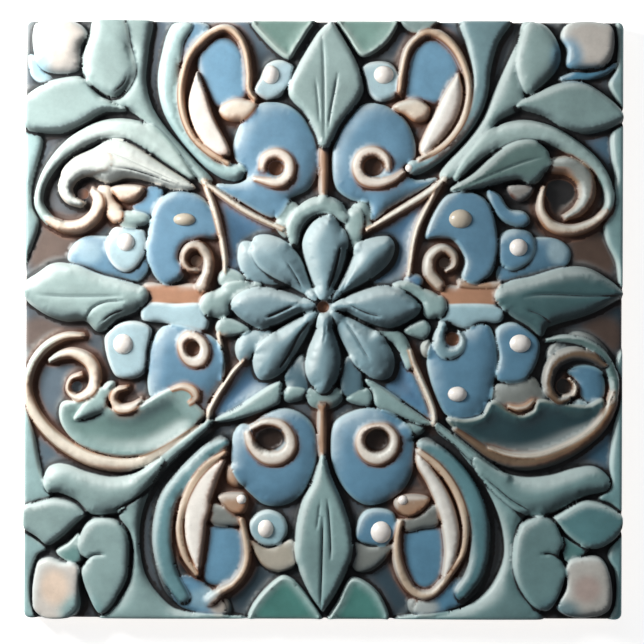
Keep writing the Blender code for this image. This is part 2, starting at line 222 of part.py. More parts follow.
# Raised bands: name, height over the ground, centre line as (x, y, width), in mm
BANDS = [
    ("sepal_ese", 2.6, [(14, -3.6, 3), (18.6, -4.6, 3.6), (20.9, -8, 3), (22, -11.6, 2)]),
    ("rib_nw_left", 3.2, [(-30.6, 35.2, 1.8), (-28.8, 30, 1.9), (-27.2, 25.6, 1.9), (-25.9, 20.4, 1.8),
        (-25.3, 16, 1.6), (-25.2, 12.4, 1.2)]),
    ("rib_nw_right", 3.2, [(-30, 34.6, 1.8), (-26, 31.7, 2), (-21, 28.3, 1.9), (-16, 25.6, 1.8),
        (-10.4, 23, 1.2)]),
    ("rib_ne_left", 3.2, [(30.4, 35.6, 2.4), (26, 32.2, 2.2), (21, 29, 2), (16, 26, 1.8),
        (10.8, 22.8, 1.2)]),
    ("rib_ne_right", 3.2, [(29.4, 34.6, 1.8), (26.9, 30.2, 1.8), (24.4, 25, 1.8), (22.9, 20, 1.7),
        (22.2, 15.6, 1.5), (21.6, 11.6, 1.2)]),
    ("rib_sw_left", 3.2, [(-29.4, -26.2, 1.9), (-28.8, -22.6, 1.8), (-26.4, -18.2, 1.6),
        (-23.4, -13.8, 1.3), (-20.4, -10.4, 0.9)]),
    ("rib_se_right", 3.2, [(28.4, -26.8, 2), (27.8, -22.4, 1.9), (25.8, -17.2, 1.8), (23.4, -12, 1.7),
        (21.9, -7.6, 1.4)]),
    ("rod_n", 2.6, [(-0.2, 45, 2.4), (-0.2, 38, 2.4), (-0.2, 30, 2)]),
    ("rod_s", 2.6, [(-0.4, -22, 2), (-0.4, -29, 2.2), (-0.2, -35.4, 1.9)]),
    ("arch_nw", 3.2, [(-33.4, 36, 1.4), (-38.4, 41, 3.4), (-44, 45.6, 6), (-50.4, 48.2, 5.6),
        (-57, 47.8, 5), (-63.4, 44.6, 4.4), (-68.6, 40, 3), (-71.8, 34.6, 2.2), (-72.6, 29.4, 2.2),
        (-70.2, 25.4, 2.6), (-65.2, 23.5, 3.2), (-60, 25.2, 3.4), (-58.4, 29.4, 3), (-58.2, 32.4, 2)]),
    ("curl_nw", 3.6, [(-57.6, 34.6, 3), (-61.6, 35.6, 3.4), (-65.2, 33.6, 3), (-63.8, 30, 2.6),
        (-61, 29.6, 1.6)]),
    ("scroll_nw", 3.4, [(-31, 8.6, 3.4), (-29.6, 12, 2.8), (-29.4, 15.4, 2.7), (-31.6, 18.6, 2.7),
        (-34.4, 18.2, 2.4), (-35.8, 15.4, 2), (-34.4, 12.8, 1.6), (-32.4, 12.6, 1.2)]),
    ("loop_nw", 3.3, [(-24.4, 39.8, 1.4), (-29.2, 42.4, 1.5), (-33.6, 46.8, 1.6), (-36.1, 53, 1.7),
        (-36.4, 59.6, 1.8), (-34.6, 66.4, 2), (-30.4, 71.6, 2.2), (-26, 74.2, 2), (-23, 73.2, 1.8),
        (-20.4, 69, 1.7), (-19.3, 63, 1.7), (-19.2, 58.4, 1.5), (-17.6, 56, 1.2)]),
    ("eye_nw", 3.6, [(-17.8, 35.8, 1.2), (-14.6, 35.2, 2.2), (-11.4, 34.9, 2.6), (-9, 37, 2.7),
        (-9.3, 40.6, 2.7), (-12, 42.2, 2.7), (-15, 41, 2.5), (-15.7, 38.4, 2)]),
    ("arch_ne", 3.2, [(33.4, 36, 1.4), (38, 41.4, 3.6), (43.6, 46, 5.6), (50, 48.2, 5.6), (56.6, 47.4, 5),
        (62.6, 44.6, 4), (68.4, 40, 3.6), (72, 34.6, 3), (72.4, 29.4, 2.2), (69.6, 25.2, 2.6),
        (64, 23.2, 3), (58.4, 24.2, 3), (55.4, 28, 2.4), (55, 32, 1.6)]),
    ("curl_ne", 3.6, [(57.8, 38.4, 4.4), (62, 38, 4.6), (65.4, 34.8, 3.8), (64.4, 30.4, 3),
        (61.2, 28.2, 2.2), (59, 27.4, 1)]),
    ("scroll_ne", 3.4, [(29.4, 9, 3), (27, 12, 3.2), (27.2, 16, 3), (30, 18.2, 2.6), (32.8, 16.8, 2.2),
        (33.2, 14, 1.6), (31.2, 12.6, 1)]),
    ("loop_ne", 3.3, [(24, 40.9, 1.2), (28.8, 43.4, 1.5), (32.6, 47, 1.6), (35.4, 51.8, 1.7),
        (36.7, 57.6, 1.8), (36.2, 62.6, 1.9), (33.4, 68.8, 2.1), (29, 72.8, 2.3), (25, 72.7, 2),
        (21.4, 69.4, 1.8), (19.8, 64, 1.7), (19.2, 58, 1.6)]),
    ("eye_ne", 3.6, [(20, 37.6, 1.4), (17.4, 35.8, 2), (13.6, 34.8, 2.6), (9.8, 35.8, 2.8), (8.4, 39, 2.8),
        (9.8, 42, 2.8), (13, 42.7, 2.7), (15.7, 40.8, 2.2), (16.3, 38.4, 1.4)]),
    ("arch_sw", 3, [(-61.4, -4.2, 1.4), (-66, -4.5, 2), (-70.6, -7, 2.2), (-74, -11.4, 2.2),
        (-75.4, -17, 2.4), (-74, -23, 2.8), (-70.6, -28, 3), (-65.4, -32.4, 3.4), (-58, -36, 3.8),
        (-50, -37, 3.6), (-43, -35, 2.8), (-36, -30.4, 1.8), (-31, -26.8, 1.2)]),
    ("curl_sw", 3.6, [(-69.6, -10.6, 1.2), (-66.6, -9.1, 2.2), (-63.4, -8.8, 2.8), (-59.6, -10.8, 3.2),
        (-58, -14.6, 3.2), (-59.4, -18.4, 2.6), (-62.8, -19.9, 1.8), (-65, -18, 1.2), (-64.2, -15.2, 1.2),
        (-61.8, -14.2, 1.4)]),
    ("scroll_sw", 3.5, [(-31.4, -5.4, 2.8), (-34.2, -4.2, 2.6), (-36, -5.8, 2.2), (-35.6, -8.6, 2.3),
        (-33.8, -10.6, 2.6), (-31.4, -10.6, 2.9), (-30.4, -8, 3), (-31.4, -5.4, 2.8)]),
    ("eye_sw", 3.6, [(-19.2, -29.4, 1.6), (-17.6, -32, 2.8), (-14.6, -34.4, 3.4), (-11, -35, 3.2),
        (-8.6, -32.8, 2.9), (-8.8, -29.4, 2.5), (-11.4, -26.9, 2), (-15, -26.8, 1.6), (-18, -28.2, 1.5)]),
    ("loop_sw", 3.3, [(-25, -33.9, 1.6), (-29.4, -36.9, 2), (-33.2, -41.6, 2), (-35.8, -47.8, 2),
        (-36.5, -54, 2), (-35, -60.4, 1.8), (-32, -64.9, 1.4)]),
    ("loop_sw_right", 3.2, [(-20.8, -50.8, 1.4), (-19.7, -54.6, 1.8), (-19.2, -59, 2), (-20, -63.6, 2),
        (-22.8, -67.4, 2), (-26.4, -69.4, 2.4), (-28.6, -71.4, 2.6)]),
    ("arch_se", 3, [(57.2, -19.6, 1.4), (56.4, -15.4, 2), (58.4, -10.6, 2.8), (63.6, -8.2, 3.4),
        (69, -9.6, 3), (72.6, -14.2, 2.2), (73.4, -20, 2.2), (71.4, -25.6, 3), (66.4, -31, 3.6),
        (59.6, -35, 4.2), (52, -36.8, 4), (45, -35.4, 3.2), (38.6, -31.4, 2.4), (33, -27.4, 1.4)]),
    ("scroll_se", 3.4, [(30.4, -1.6, 2.4), (29.2, -5.4, 3), (31, -8.4, 2.6), (34, -7.8, 1.8),
        (35.3, -5.2, 1.2), (34.4, -3, 0.9)]),
    ("eye_se", 3.6, [(13.8, -27.1, 2), (10.6, -28.2, 2.4), (9.4, -31.2, 2.6), (11, -34.2, 3),
        (14.2, -35.2, 3.2), (17.2, -33.4, 2.8), (18, -30, 2.4), (16.2, -27.4, 2), (13.8, -27.1, 2)]),
    ("loop_se", 3.3, [(24.2, -33.2, 1.4), (28.8, -36.9, 2), (32.6, -41.6, 2), (35.3, -47.6, 2),
        (36.3, -54, 2), (34.9, -60.6, 1.8), (32, -65.4, 1.6), (28.6, -68.8, 1.8), (25, -69.8, 2.2),
        (21.8, -67.6, 2.4), (19.4, -62.6, 2.4), (18.7, -57, 2), (19.6, -51, 1.6)]),
]

# Domes: name, height of the foot, centre, half widths, in mm
PEARLS = [
    ("pearl_nw", 2, (-50.4, 19.6), (2.3, 2.4)),
    ("pearl_ne", 2, (49.4, 18.6), (2.4, 2.3)),
    ("pearl_sw", 2, (-51, -6.3), (2.6, 2.7)),
    ("pearl_se", 2, (49.9, -5.8), (2.8, 2.4)),
    ("pearl_n_left", 1.8, (-13.7, 62.3), (2.2, 2.5)),
    ("pearl_n_right", 1.8, (15, 62.4), (2.6, 2.4)),
    ("pearl_s_left", 1.8, (-14.6, -53.1), (2.1, 2.4)),
    ("pearl_s_right", 1.8, (14.7, -53.9), (2.7, 2.9)),
    ("bead_nw", 2.6, (-35.5, 25.4), (2.9, 1.7)),
    ("bead_ne", 2.6, (34.6, 25.8), (3, 2.5)),
    ("bead_se", 2.8, (34.2, -18.6), (2.2, 1.7)),
]


def clear_scene():
    for item in list(bpy.data.objects):
        bpy.data.objects.remove(item, do_unlink=True)


def new_collection(name):
    collection = bpy.data.collections.new(name)
    bpy.context.scene.collection.children.link(collection)
    return collection


def glazed_clay():
    """Pale sage glaze over fired clay."""
    material = bpy.data.materials.new("glazed_clay")
    material.use_nodes = True
    shader = material.node_tree.nodes["Principled BSDF"]
    shader.inputs["Base Color"].default_value = (0.38, 0.5, 0.48, 1.0)
    shader.inputs["Roughness"].default_value = 0.25
    shader.inputs["Metallic"].default_value = 0.0
    return material


def prism(name, outlines, bottom, top, collection):
    """A flat outline, or nested outlines with a hole, drawn in mm and raised from bottom to top."""
    curve = bpy.data.curves.new(name, "CURVE")
    curve.dimensions = "2D"
    curve.fill_mode = "BOTH"
    curve.extrude = (top - bottom) / 2
    for outline in outlines:
        spline = curve.splines.new("POLY")
        spline.points.add(len(outline) - 1)
        for point, (x, y) in zip(spline.points, outline):
            point.co = (x * MM, y * MM, 0.0, 1.0)
        spline.use_cyclic_u = True
    drawn = bpy.data.objects.new(name + "_outline", curve)
    drawn.location.z = (top + bottom) / 2
    collection.objects.link(drawn)
    bpy.context.view_layer.update()
    evaluated = drawn.evaluated_get(bpy.context.evaluated_depsgraph_get())
    mesh = bpy.data.meshes.new_from_object(evaluated)
    work = bmesh.new()
    work.from_mesh(mesh)
    bmesh.ops.remove_doubles(work, verts=work.verts, dist=0.00001)
    work.to_mesh(mesh)
    work.free()
    solid = bpy.data.objects.new(name, mesh)
    solid.matrix_world = drawn.matrix_world.copy()
    bpy.data.objects.remove(drawn, do_unlink=True)
    collection.objects.link(solid)
    return solid


def without_repeats(points):
    """A point given twice marks a sharp corner; straight sides need it once."""
    kept = []
    for point in points:
        if point not in kept:
            kept.append(point)
    return kept


def band_outlines(line):
    """The two sides of a band that follows a centre line of (x, y, width) points."""
    closed = line[0] == line[-1]
    points = line[:-1] if closed else line
    last = len(points) - 1
    left = []
    right = []
    for i, (x, y, width) in enumerate(points):
        before = points[i - 1] if closed or i > 0 else points[0]
        after = points[(i + 1) % len(points)] if closed or i < last else points[last]
        along = Vector((after[0] - before[0], after[1] - before[1])).normalized()
        across = Vector((-along.y, along.x)) * width / 2
        left.append((x + across.x, y + across.y))
        right.append((x - across.x, y - across.y))
    if closed:
        return [left, right]
    return [left + right[::-1]]


def square_outline(side, radius, steps):
    """A square with round corners, drawn in mm."""
    half = side / MM / 2 - radius / MM
    outline = []
    for corner, (sx, sy) in enumerate([(1, 1), (-1, 1), (-1, -1), (1, -1)]):
        for step in range(steps + 1):
            angle = math.radians(90 * (corner + step / steps))
            outline.append((sx * half + radius / MM * math.cos(angle), sy * half + radius / MM * math.sin(angle)))
    return outline


def dome(name, foot, centre, half, collection):
    """A pearl: the upper part of a flattened ball."""
    mesh = bpy.data.meshes.new(name)
    work = bmesh.new()
    bmesh.ops.create_uvsphere(work, u_segments=DOME_SEGMENTS, v_segments=DOME_RINGS, radius=1.0)
    bmesh.ops.scale(work, vec=(half[0] * MM, half[1] * MM, DOME_RISE), verts=work.verts)
    bmesh.ops.translate(work, vec=(centre[0] * MM, centre[1] * MM, GROUND + foot * MM), verts=work.verts)
    work.to_mesh(mesh)
    work.free()
    ball = bpy.data.objects.new(name, mesh)
    collection.objects.link(ball)
    return ball


def boolean(target, name, operation, collection=None, cutter=None):
    modifier = target.modifiers.new(name, "BOOLEAN")
    modifier.operation = operation
    modifier.solver = "EXACT"
    if collection:
        modifier.operand_type = "COLLECTION"
        modifier.collection = collection
    else:
        modifier.object = cutter


def build_tile():
    tile_parts = new_collection("floral_tile")
    relief = new_collection("relief_shapes")
    trim = new_collection("trim_shapes")
    for name, height, outline in SHAPES:
        prism(name, [without_repeats(outline)], GROUND - SINK, GROUND + height * MM, relief)
    for name, height, line in BANDS:
        prism(name, band_outlines(line), GROUND - SINK, GROUND + height * MM, relief)
    for name, foot, centre, half in PEARLS:
        dome(name, foot, centre, half, relief)
    blank = TILE_SIDE + 2 * BLANK_MARGIN
    tile = prism("tile", [square_outline(blank, CORNER_RADIUS, CORNER_STEPS)], 0.0, GROUND, tile_parts)
    highest = GROUND + max(shape[1] for shape in SHAPES) * MM
    outline = square_outline(TILE_SIDE, CORNER_RADIUS, CORNER_STEPS)
    edge = prism("trimmed_edge", [outline], -SINK, highest + SINK, trim)
    boolean(tile, "raise_relief", "UNION", collection=relief)
    boolean(tile, "trim_edge", "INTERSECT", cutter=edge)
    for guide in list(relief.objects) + [edge]:
        guide.hide_render = True
        guide.display_type = "WIRE"
    tile.data.materials.append(glazed_clay())
    return tile


clear_scene()
build_tile()
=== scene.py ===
# %% [markdown]
# # A pressed floral tile
# This lesson makes the face of a square ceramic tile: a rosette on a four-point star, with leaves,
# curls and pearls around it. On the real tile one lump of clay is pressed into a mould, so the ornament
# and the slab are one body. It is then brushed with brown oxide, which stays in the hollows, and
# covered with coloured glazes, which run thin on the rims and thick in the dips. Everything below
# follows those three steps: shape, oxide, glaze. Shade and highlights are painted into the colours too:
# hollows and the sides away from the light are painted darker, and rims towards the light paler.
#
# The relief could be sculpted, or built from many joined solids. Here it is computed as a height over
# the slab, because a mould has no undercuts: one height for each place says everything, and the result
# is one clean skin.

# %% Load the frame
import json
import math

import bpy
import numpy as np
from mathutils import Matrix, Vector
from mathutils.geometry import delaunay_2d_cdt

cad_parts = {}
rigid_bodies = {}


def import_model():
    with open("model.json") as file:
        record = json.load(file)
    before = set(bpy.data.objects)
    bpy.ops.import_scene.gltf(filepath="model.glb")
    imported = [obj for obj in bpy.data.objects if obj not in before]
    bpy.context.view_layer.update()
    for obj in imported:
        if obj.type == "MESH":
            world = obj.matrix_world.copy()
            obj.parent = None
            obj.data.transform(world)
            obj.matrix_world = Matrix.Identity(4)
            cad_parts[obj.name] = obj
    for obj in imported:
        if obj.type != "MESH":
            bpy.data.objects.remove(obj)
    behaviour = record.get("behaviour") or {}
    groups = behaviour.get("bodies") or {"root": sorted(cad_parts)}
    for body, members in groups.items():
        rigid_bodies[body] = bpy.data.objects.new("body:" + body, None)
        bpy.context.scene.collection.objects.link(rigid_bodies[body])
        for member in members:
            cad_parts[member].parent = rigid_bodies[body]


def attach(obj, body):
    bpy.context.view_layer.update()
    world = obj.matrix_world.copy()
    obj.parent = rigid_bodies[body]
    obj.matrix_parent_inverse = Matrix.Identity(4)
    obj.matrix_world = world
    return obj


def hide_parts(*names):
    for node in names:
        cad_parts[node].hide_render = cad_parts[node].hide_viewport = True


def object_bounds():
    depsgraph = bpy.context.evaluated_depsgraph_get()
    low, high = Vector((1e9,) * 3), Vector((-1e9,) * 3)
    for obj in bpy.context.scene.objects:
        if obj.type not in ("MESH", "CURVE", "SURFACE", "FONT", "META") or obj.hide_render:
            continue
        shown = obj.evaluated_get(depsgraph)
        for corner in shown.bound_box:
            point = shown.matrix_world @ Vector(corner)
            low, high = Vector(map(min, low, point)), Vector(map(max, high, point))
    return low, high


for leftover in list(bpy.data.objects):
    bpy.data.objects.remove(leftover, do_unlink=True)
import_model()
cad_low, cad_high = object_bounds()
print("frame box, mm:", [round(v * 1000, 2) for v in cad_high - cad_low])

# %% [markdown]
# ## Driving sizes
# The drawing of the ornament is in millimetres from the middle of the tile, because that is how a mould
# maker would write it. The side of the tile and the level of its back come from the frame, so that the
# skin always fits the solid that it stands for. The ground is the lowest part of the pattern, and each
# form has its height over it.

# %% Driving sizes
MM = 0.001
SIDE = (cad_high.x - cad_low.x) / MM
TOP = (cad_high.z - cad_low.z) / MM
GROUND = 7.0            # slab under the relief
EDGE_ROUND = 0.9        # the pressed edge is soft
CORNER_RADIUS = 1.6     # seen from above
WALL = 0.4              # how far a form's flank leans out on its way down
MOAT = 0.85             # width of the hollow that the tool leaves along a form's foot
MOAT_DEPTH = 0.55
print("side", round(SIDE, 2), "mm, relief up to", round(TOP - GROUND, 2), "mm")

# %% [markdown]
# ## The drawing, form by form
# Each relief form has a name, its height over the ground, the section that a carver would cut it with,
# its glaze and its outline. A point given twice is a sharp corner. A band has a third number at each
# point, its width there. The forms are pressed in order of height, and those of one height in the order
# of this list.

# %% The list of forms
FORMS = []
CREASES = []
print("an empty drawing:", len(FORMS), "forms")

# %% [markdown]
# ## Rosette
# The eight petals of the rosette are the highest forms. On the real tile each is a spoon with a keel,
# pressed so deep that the mould's edge shows as a dark line around it. They could be one petal turned
# eight times, but the real tile was carved by hand and no two petals are alike, so each has its
# own outline.

# %% Rosette
FORMS += [
    ("petal_n", 5, "petal", "petal", [(-0.8, 5), (-5.3, 18.5), (-4.2, 22.8), (-1, 26), (2.2, 26.2),
     (5.9, 19), (1.2, 5)]),
    ("petal_nw", 4.8, "petal", "petal", [(-1.6, 4.8), (-6, 7.4), (-15.5, 13), (-18.2, 17.2), (-17.6, 20.8),
     (-14, 21.3), (-9.6, 19.5), (-6.2, 15.6), (-3.6, 9.4)]),
    ("petal_w", 5, "petal", "petal", [(-2, 3.6), (-13, 7.9), (-18.5, 7.7), (-22.5, 5.4), (-23.3, 2.8),
     (-17, -1.9), (-12.5, -1.3), (-7, 1.3)]),
    ("petal_sw", 4.8, "petal", "petal", [(-1.9, 1.8), (-6, 0.7), (-15.5, -5.7), (-17.7, -10),
     (-16.6, -14.5), (-13.6, -14.9), (-9.8, -12.3)]),
    ("petal_s", 5, "petal", "petal", [(-0.9, 1.4), (-2, -3), (-4, -8.3), (-4.2, -13), (-2.4, -16.9),
     (0, -18.4), (2.4, -16.6), (4.2, -12.7), (4.1, -8.3), (2.6, -3), (1.4, 1.2)]),
    ("petal_se", 4.8, "petal", "petal", [(2, 2), (7, -9.3), (10.8, -13.5), (14.8, -15), (17.2, -13.8),
     (17.7, -9.6), (15, -4.6), (10.5, -1.2), (5.5, 1)]),
    ("petal_e", 5, "petal", "petal", [(2.2, 3.6), (13, 8.3), (18.8, 7.9), (24.6, 2.9), (17.5, -1.9),
     (12, -1), (6.5, 1.7)]),
    ("petal_ne", 4.8, "petal", "petal", [(1.6, 5), (5, 10.6), (7.4, 16), (8.6, 19.3), (16, 21.1),
     (17.8, 18.6), (16.3, 14.6), (12, 10.8), (6.4, 7.6)]),
]
print("rosette:", len(FORMS), "forms so far")

# %% [markdown]
# ## Sepals
# Small sepals peep out between the petals and tie the rosette to the star. They are low pillows, and
# one of them is a band that runs over the top petal like a collar.

# %% Sepals
FORMS += [
    ("rosette_core", 3.2, "pillow", "petal", [(-5.4, 3.3), (-4, 7), (-0.3, 8.4), (3.8, 6.8), (5.2, 3.3),
     (3.6, -0.6), (-0.3, -1.8), (-4, -0.4)]),
    ("sepal_n", 3.2, "band", "sage", [(-7.6, 19.6, 2.4), (-7.4, 23.6, 4), (-5, 27.2, 4.6),
     (-0.6, 29.2, 4.8), (3, 28.2, 4.2), (4.6, 26, 2.6)]),
    ("sepal_nnw", 2.2, "pillow", "sage", [(-12.4, 24.8), (-9.6, 30.3), (-6.2, 28.2), (-7.5, 22.5),
     (-10, 21)]),
    ("sepal_nne", 2.9, "pillow", "sage", [(5.4, 27.4), (7.6, 28.3), (9.4, 27.2), (9.6, 21), (7.8, 17),
     (5, 20)]),
    ("sepal_ne", 2.2, "pillow", "sage", [(7, 28.6), (10.6, 30.2), (12, 25.8), (11.3, 22.9), (8.5, 21)]),
    ("sepal_wnw", 2.6, "pillow", "petal", [(-20.7, 19.6), (-21.7, 16.6), (-21.2, 13.6), (-19.3, 10.4),
     (-16, 8.6), (-9, 9), (-13, 13), (-17, 19)]),
    ("sepal_w_tip", 2.3, "pillow", "sage", [(-26.9, 10), (-26.3, 12.1), (-24.4, 12.9), (-19.2, 9.9),
     (-22, 8.2), (-25.6, 8.4)]),
    ("sepal_w", 3, "pillow", "sage", [(-31.3, 4), (-30.2, 6.2), (-27.2, 7.5), (-24, 9.2), (-20, 9.6),
     (-16, 8.6), (-23.6, 4), (-23.8, 1.4), (-26.5, 0.6), (-30, 1.4)]),
    ("sepal_wsw", 2.4, "pillow", "sage", [(-27.3, -2.5), (-26.7, -0.3), (-24.6, 0.5), (-18.6, -2.6),
     (-25.2, -4.3)]),
    ("sepal_sw", 2.8, "pillow", "petal", [(-22.3, -7.4), (-21.6, -4.8), (-19, -3), (-14, -2), (-12, -5),
     (-18, -8.6), (-19.4, -10.2), (-21.4, -10.2)]),
    ("sepal_ssw", 2, "pillow", "star_grey", [(-9.6, -13.5), (-8.4, -18.8), (-6, -19.4), (-3.6, -18.4),
     (-2.6, -14), (-5.6, -9)]),
    ("sepal_ssw_low", 2, "pillow", "sage", [(-10.6, -18.2), (-10.2, -20.3), (-8.2, -20.9), (-4.4, -19.6),
     (-5, -17.8), (-9.2, -17.4)]),
    ("sepal_s", 2.3, "pillow", "sage", [(-4.2, -19.3), (-3.2, -21.5), (-1, -22.5), (1.8, -22.4),
     (4.1, -21.1), (4.8, -19.5), (3, -17), (-2.6, -17)]),
    ("sepal_sse", 2, "pillow", "star_grey", [(4.4, -18), (6, -19.4), (8.6, -19), (9.9, -17.2),
     (9.7, -13.6), (6.4, -9), (4.6, -12)]),
    ("sepal_sse_low", 2, "pillow", "sage", [(6, -20.2), (11.6, -21.9), (12.5, -19.8), (11, -17.4),
     (8.4, -18.6)]),
    ("sepal_ese", 2.6, "band", "sage", [(14, -3.6, 3), (18.6, -4.6, 3.6), (20.9, -8, 3), (22, -11.6, 2)]),
    ("sepal_e_low", 2.4, "pillow", "sage", [(20.6, -2.6), (25.2, 0), (26.9, -1.4), (26.7, -3.7),
     (25, -4.7)]),
    ("sepal_e", 3, "pillow", "sage", [(17.6, 8.8), (20.4, 9.8), (23.6, 8.6), (27.8, 7.1), (30.4, 5.3),
     (31, 3.2), (29.8, 1), (27, 0.5), (25.4, 1.8), (24.8, 4.6), (22, 6.6)]),
    ("sepal_ene", 2.2, "pillow", "star", [(20.6, 10.2), (22, 11.5), (23.8, 11.6), (25.2, 10.2),
     (24.6, 8.2), (21.6, 9)]),
]
print("sepals:", len(FORMS), "forms so far")

# %% [markdown]
# ## Four-point star
# Behind the rosette lies a star with four points. Its floors are dished panels of deep blue, and thin
# cream ribs run along their sides. A rib is drawn as a centre line with a width at each point, which is
# how a carver thinks of it.

# %% Four-point star
FORMS += [
    ("star_nw", 1, "dish", "star", [(-29.6, 33.6), (-28, 28), (-26, 21), (-25.2, 14), (-16, 10), (-8, 22),
     (-13, 24.4), (-24, 30.2)]),
    ("star_ne", 1, "dish", "star", [(29, 33.8), (27, 30.2), (24.2, 24.5), (22.6, 17), (22, 10), (12, 10),
     (9, 22.4), (17, 26.6)]),
    ("star_sw", 1, "dish", "star", [(-28.9, -25.6), (-28.2, -21.8), (-20.6, -10.6), (-12, -4), (-8, -14),
     (-12, -16), (-26, -24.6)]),
    ("star_se", 1, "dish", "star", [(28, -26.4), (20.6, -10), (12, -4), (9, -13), (13.4, -16.3),
     (25.4, -24.2)]),
    ("rib_nw_left", 3.2, "band", "rib", [(-30.6, 35.2, 1.4), (-27.2, 25.6, 1.5), (-25.3, 16, 1.3),
     (-25.2, 12.4, 1)]),
    ("rib_nw_right", 3.2, "band", "rib", [(-30, 34.6, 1.4), (-21, 28.3, 1.5), (-16, 25.6, 1.4),
     (-10.4, 23, 1)]),
    ("rib_ne_left", 3.2, "band", "rib", [(30.4, 35.6, 1.9), (26, 32.2, 1.8), (16, 26, 1.4),
     (10.8, 22.8, 1)]),
    ("rib_ne_right", 3.2, "band", "rib", [(29.4, 34.6, 1.4), (24.4, 25, 1.4), (22.9, 20, 1.4),
     (21.6, 11.6, 1)]),
    ("rib_sw_left", 3.2, "band", "rib", [(-29.4, -26.2, 1.5), (-28.8, -22.6, 1.4), (-23.4, -13.8, 1),
     (-20.4, -10.4, 0.7)]),
    ("facet_sw", 2.4, "pillow", "sage", [(-28.4, -26), (-23, -23.2), (-11.2, -15.8), (-10.9, -18.6),
     (-11.6, -21.4), (-21.6, -25.2)]),
    ("facet_se", 2.4, "pillow", "sage", [(28, -27), (23, -23.2), (13.2, -16.2), (10.6, -15.2),
     (12.6, -18.2), (13.4, -21.6), (18, -24)]),
    ("rib_se_right", 3.2, "band", "rib", [(28.4, -26.8, 1.6), (27.8, -22.4, 1.5), (23.4, -12, 1.4),
     (21.9, -7.6, 1.1)]),
    ("rib_w_low", 2.4, "band", "rib", [(-26.8, -3.6, 1.2), (-26.1, -7, 1.2), (-25.6, -10.5, 1),
     (-26, -15.4, 0.8)]),
]
print("four-point star:", len(FORMS), "forms so far")

# %% [markdown]
# ## Leaves on the centre lines
# A pointed leaf stands on each of the four sides. The upper and the lower one hang on short brown rods,
# with two green pads beside them at the tile's edge.

# %% Leaves on the centre lines
FORMS += [
    ("leaf_n", 3.8, "leaf", "sage", [(1.8, 76.4), (1.8, 76.4), (-2, 72.4), (-8.9, 60), (-8.6, 56.8),
     (-5, 52.8), (-2, 47), (-0.9, 44.2), (1.1, 44.2), (4, 49.6), (8.4, 55.4), (9.8, 59), (8, 65.5)]),
    ("leaf_s", 3.8, "leaf", "sage", [(0, -74.2), (0, -74.2), (-3.2, -69.6), (-6.2, -62.4), (-6.9, -55.5),
     (-5.4, -47), (-2.6, -41), (-0.4, -34.6), (0.3, -34.8), (2, -40), (5, -47), (7.2, -54.5), (6.9, -61),
     (3.8, -68.5)]),
    ("leaf_w", 3.8, "leaf", "sage", [(-76.8, 8.6), (-73, 11.4), (-69, 13.9), (-64, 13.7), (-57, 11.1),
     (-46, 8), (-44.9, 5.2), (-47.5, 2.4), (-52.5, 0), (-55.4, -2.6), (-57.6, -2.9), (-60.4, -0.5),
     (-66, -0.4), (-71.5, 1.8), (-76.8, 6.2)]),
    ("leaf_e", 3.8, "leaf", "sage_deep", [(76.8, 6.8), (76.8, 6.8), (72.5, 10.3), (67, 13.2), (61.5, 13.4),
     (53, 11), (45.5, 9), (43.8, 5.8), (46.5, 2.4), (52.5, -1.5), (55.5, -3.8), (56.9, -1.6), (68, 2)]),
    ("rod_n", 2.6, "band", "tan", [(-0.2, 45, 2.4), (-0.2, 38, 2.4), (-0.2, 30, 2)]),
    ("rod_s", 2.6, "band", "tan", [(-0.4, -22, 2), (-0.4, -29, 2.2), (-0.2, -35.4, 1.9)]),
    ("pad_nw", 2.8, "dish", "green_soft", [(-18.7, 77), (-16.4, 72.8), (-9.2, 66.5), (-7.2, 69),
     (-4.6, 73.2), (-2.6, 77)]),
    ("pad_ne", 2.8, "dish", "green_soft", [(3.2, 77), (6, 71.8), (9.6, 67.2), (13.5, 68.8), (17, 72.4),
     (18.4, 77)]),
    ("pad_sw", 2.8, "dish", "green", [(-18.4, -77), (-17.4, -72.4), (-10.6, -65.5), (-7.4, -66.6),
     (-0.5, -75.4), (-0.5, -77)]),
    ("pad_se", 2.8, "dish", "green", [(1.6, -77), (4, -71.8), (7.2, -65.9), (11, -67.1), (14.8, -71),
     (16.3, -77)]),
]
print("leaves on the centre lines:", len(FORMS), "forms so far")

# %% [markdown]
# ## Bars
# The side leaves are joined to the rosette by flat bars, where the brown wash shows through a thin
# glaze.

# %% Bars
FORMS += [
    ("bar_w", 1.6, "plate", "peach", [(-46, 8.8), (-38, 8.7), (-29, 8.6), (-29, 4), (-38, 3.9), (-46, 4)]),
    ("bar_w_low", 1.9, "plate", "pale", [(-46, 3.6), (-38, 3.7), (-29.6, 3.2), (-29.8, -2.6), (-33, -3.4),
     (-40, -0.9), (-46, 0)]),
    ("bar_e", 1.6, "plate", "peach", [(30, 8.4), (38, 8.3), (45, 8.2), (45, 4.2), (38, 4), (30, 4)]),
    ("bar_e_top", 1.8, "plate", "tan", [(34.5, 10.4), (38, 9.6), (45, 9.8), (45, 8.5), (34.5, 8.6)]),
    ("bar_e_low", 1.9, "plate", "pale", [(30.5, 3.7), (46, 3.2), (45, -0.2), (40, -0.5), (36.6, -2),
     (32, -1), (29.4, -2), (29.6, 2)]),
]
print("bars:", len(FORMS), "forms so far")

# %% [markdown]
# ## Upper left: bud, leaves and stem
# The four quarters of the pattern look alike and are not: the carver drew each one again. So they are
# four drawings here too, and not one that is mirrored. The upper left quarter starts with the white bud
# in the corner, two leaves and the forked stem that they grow from.

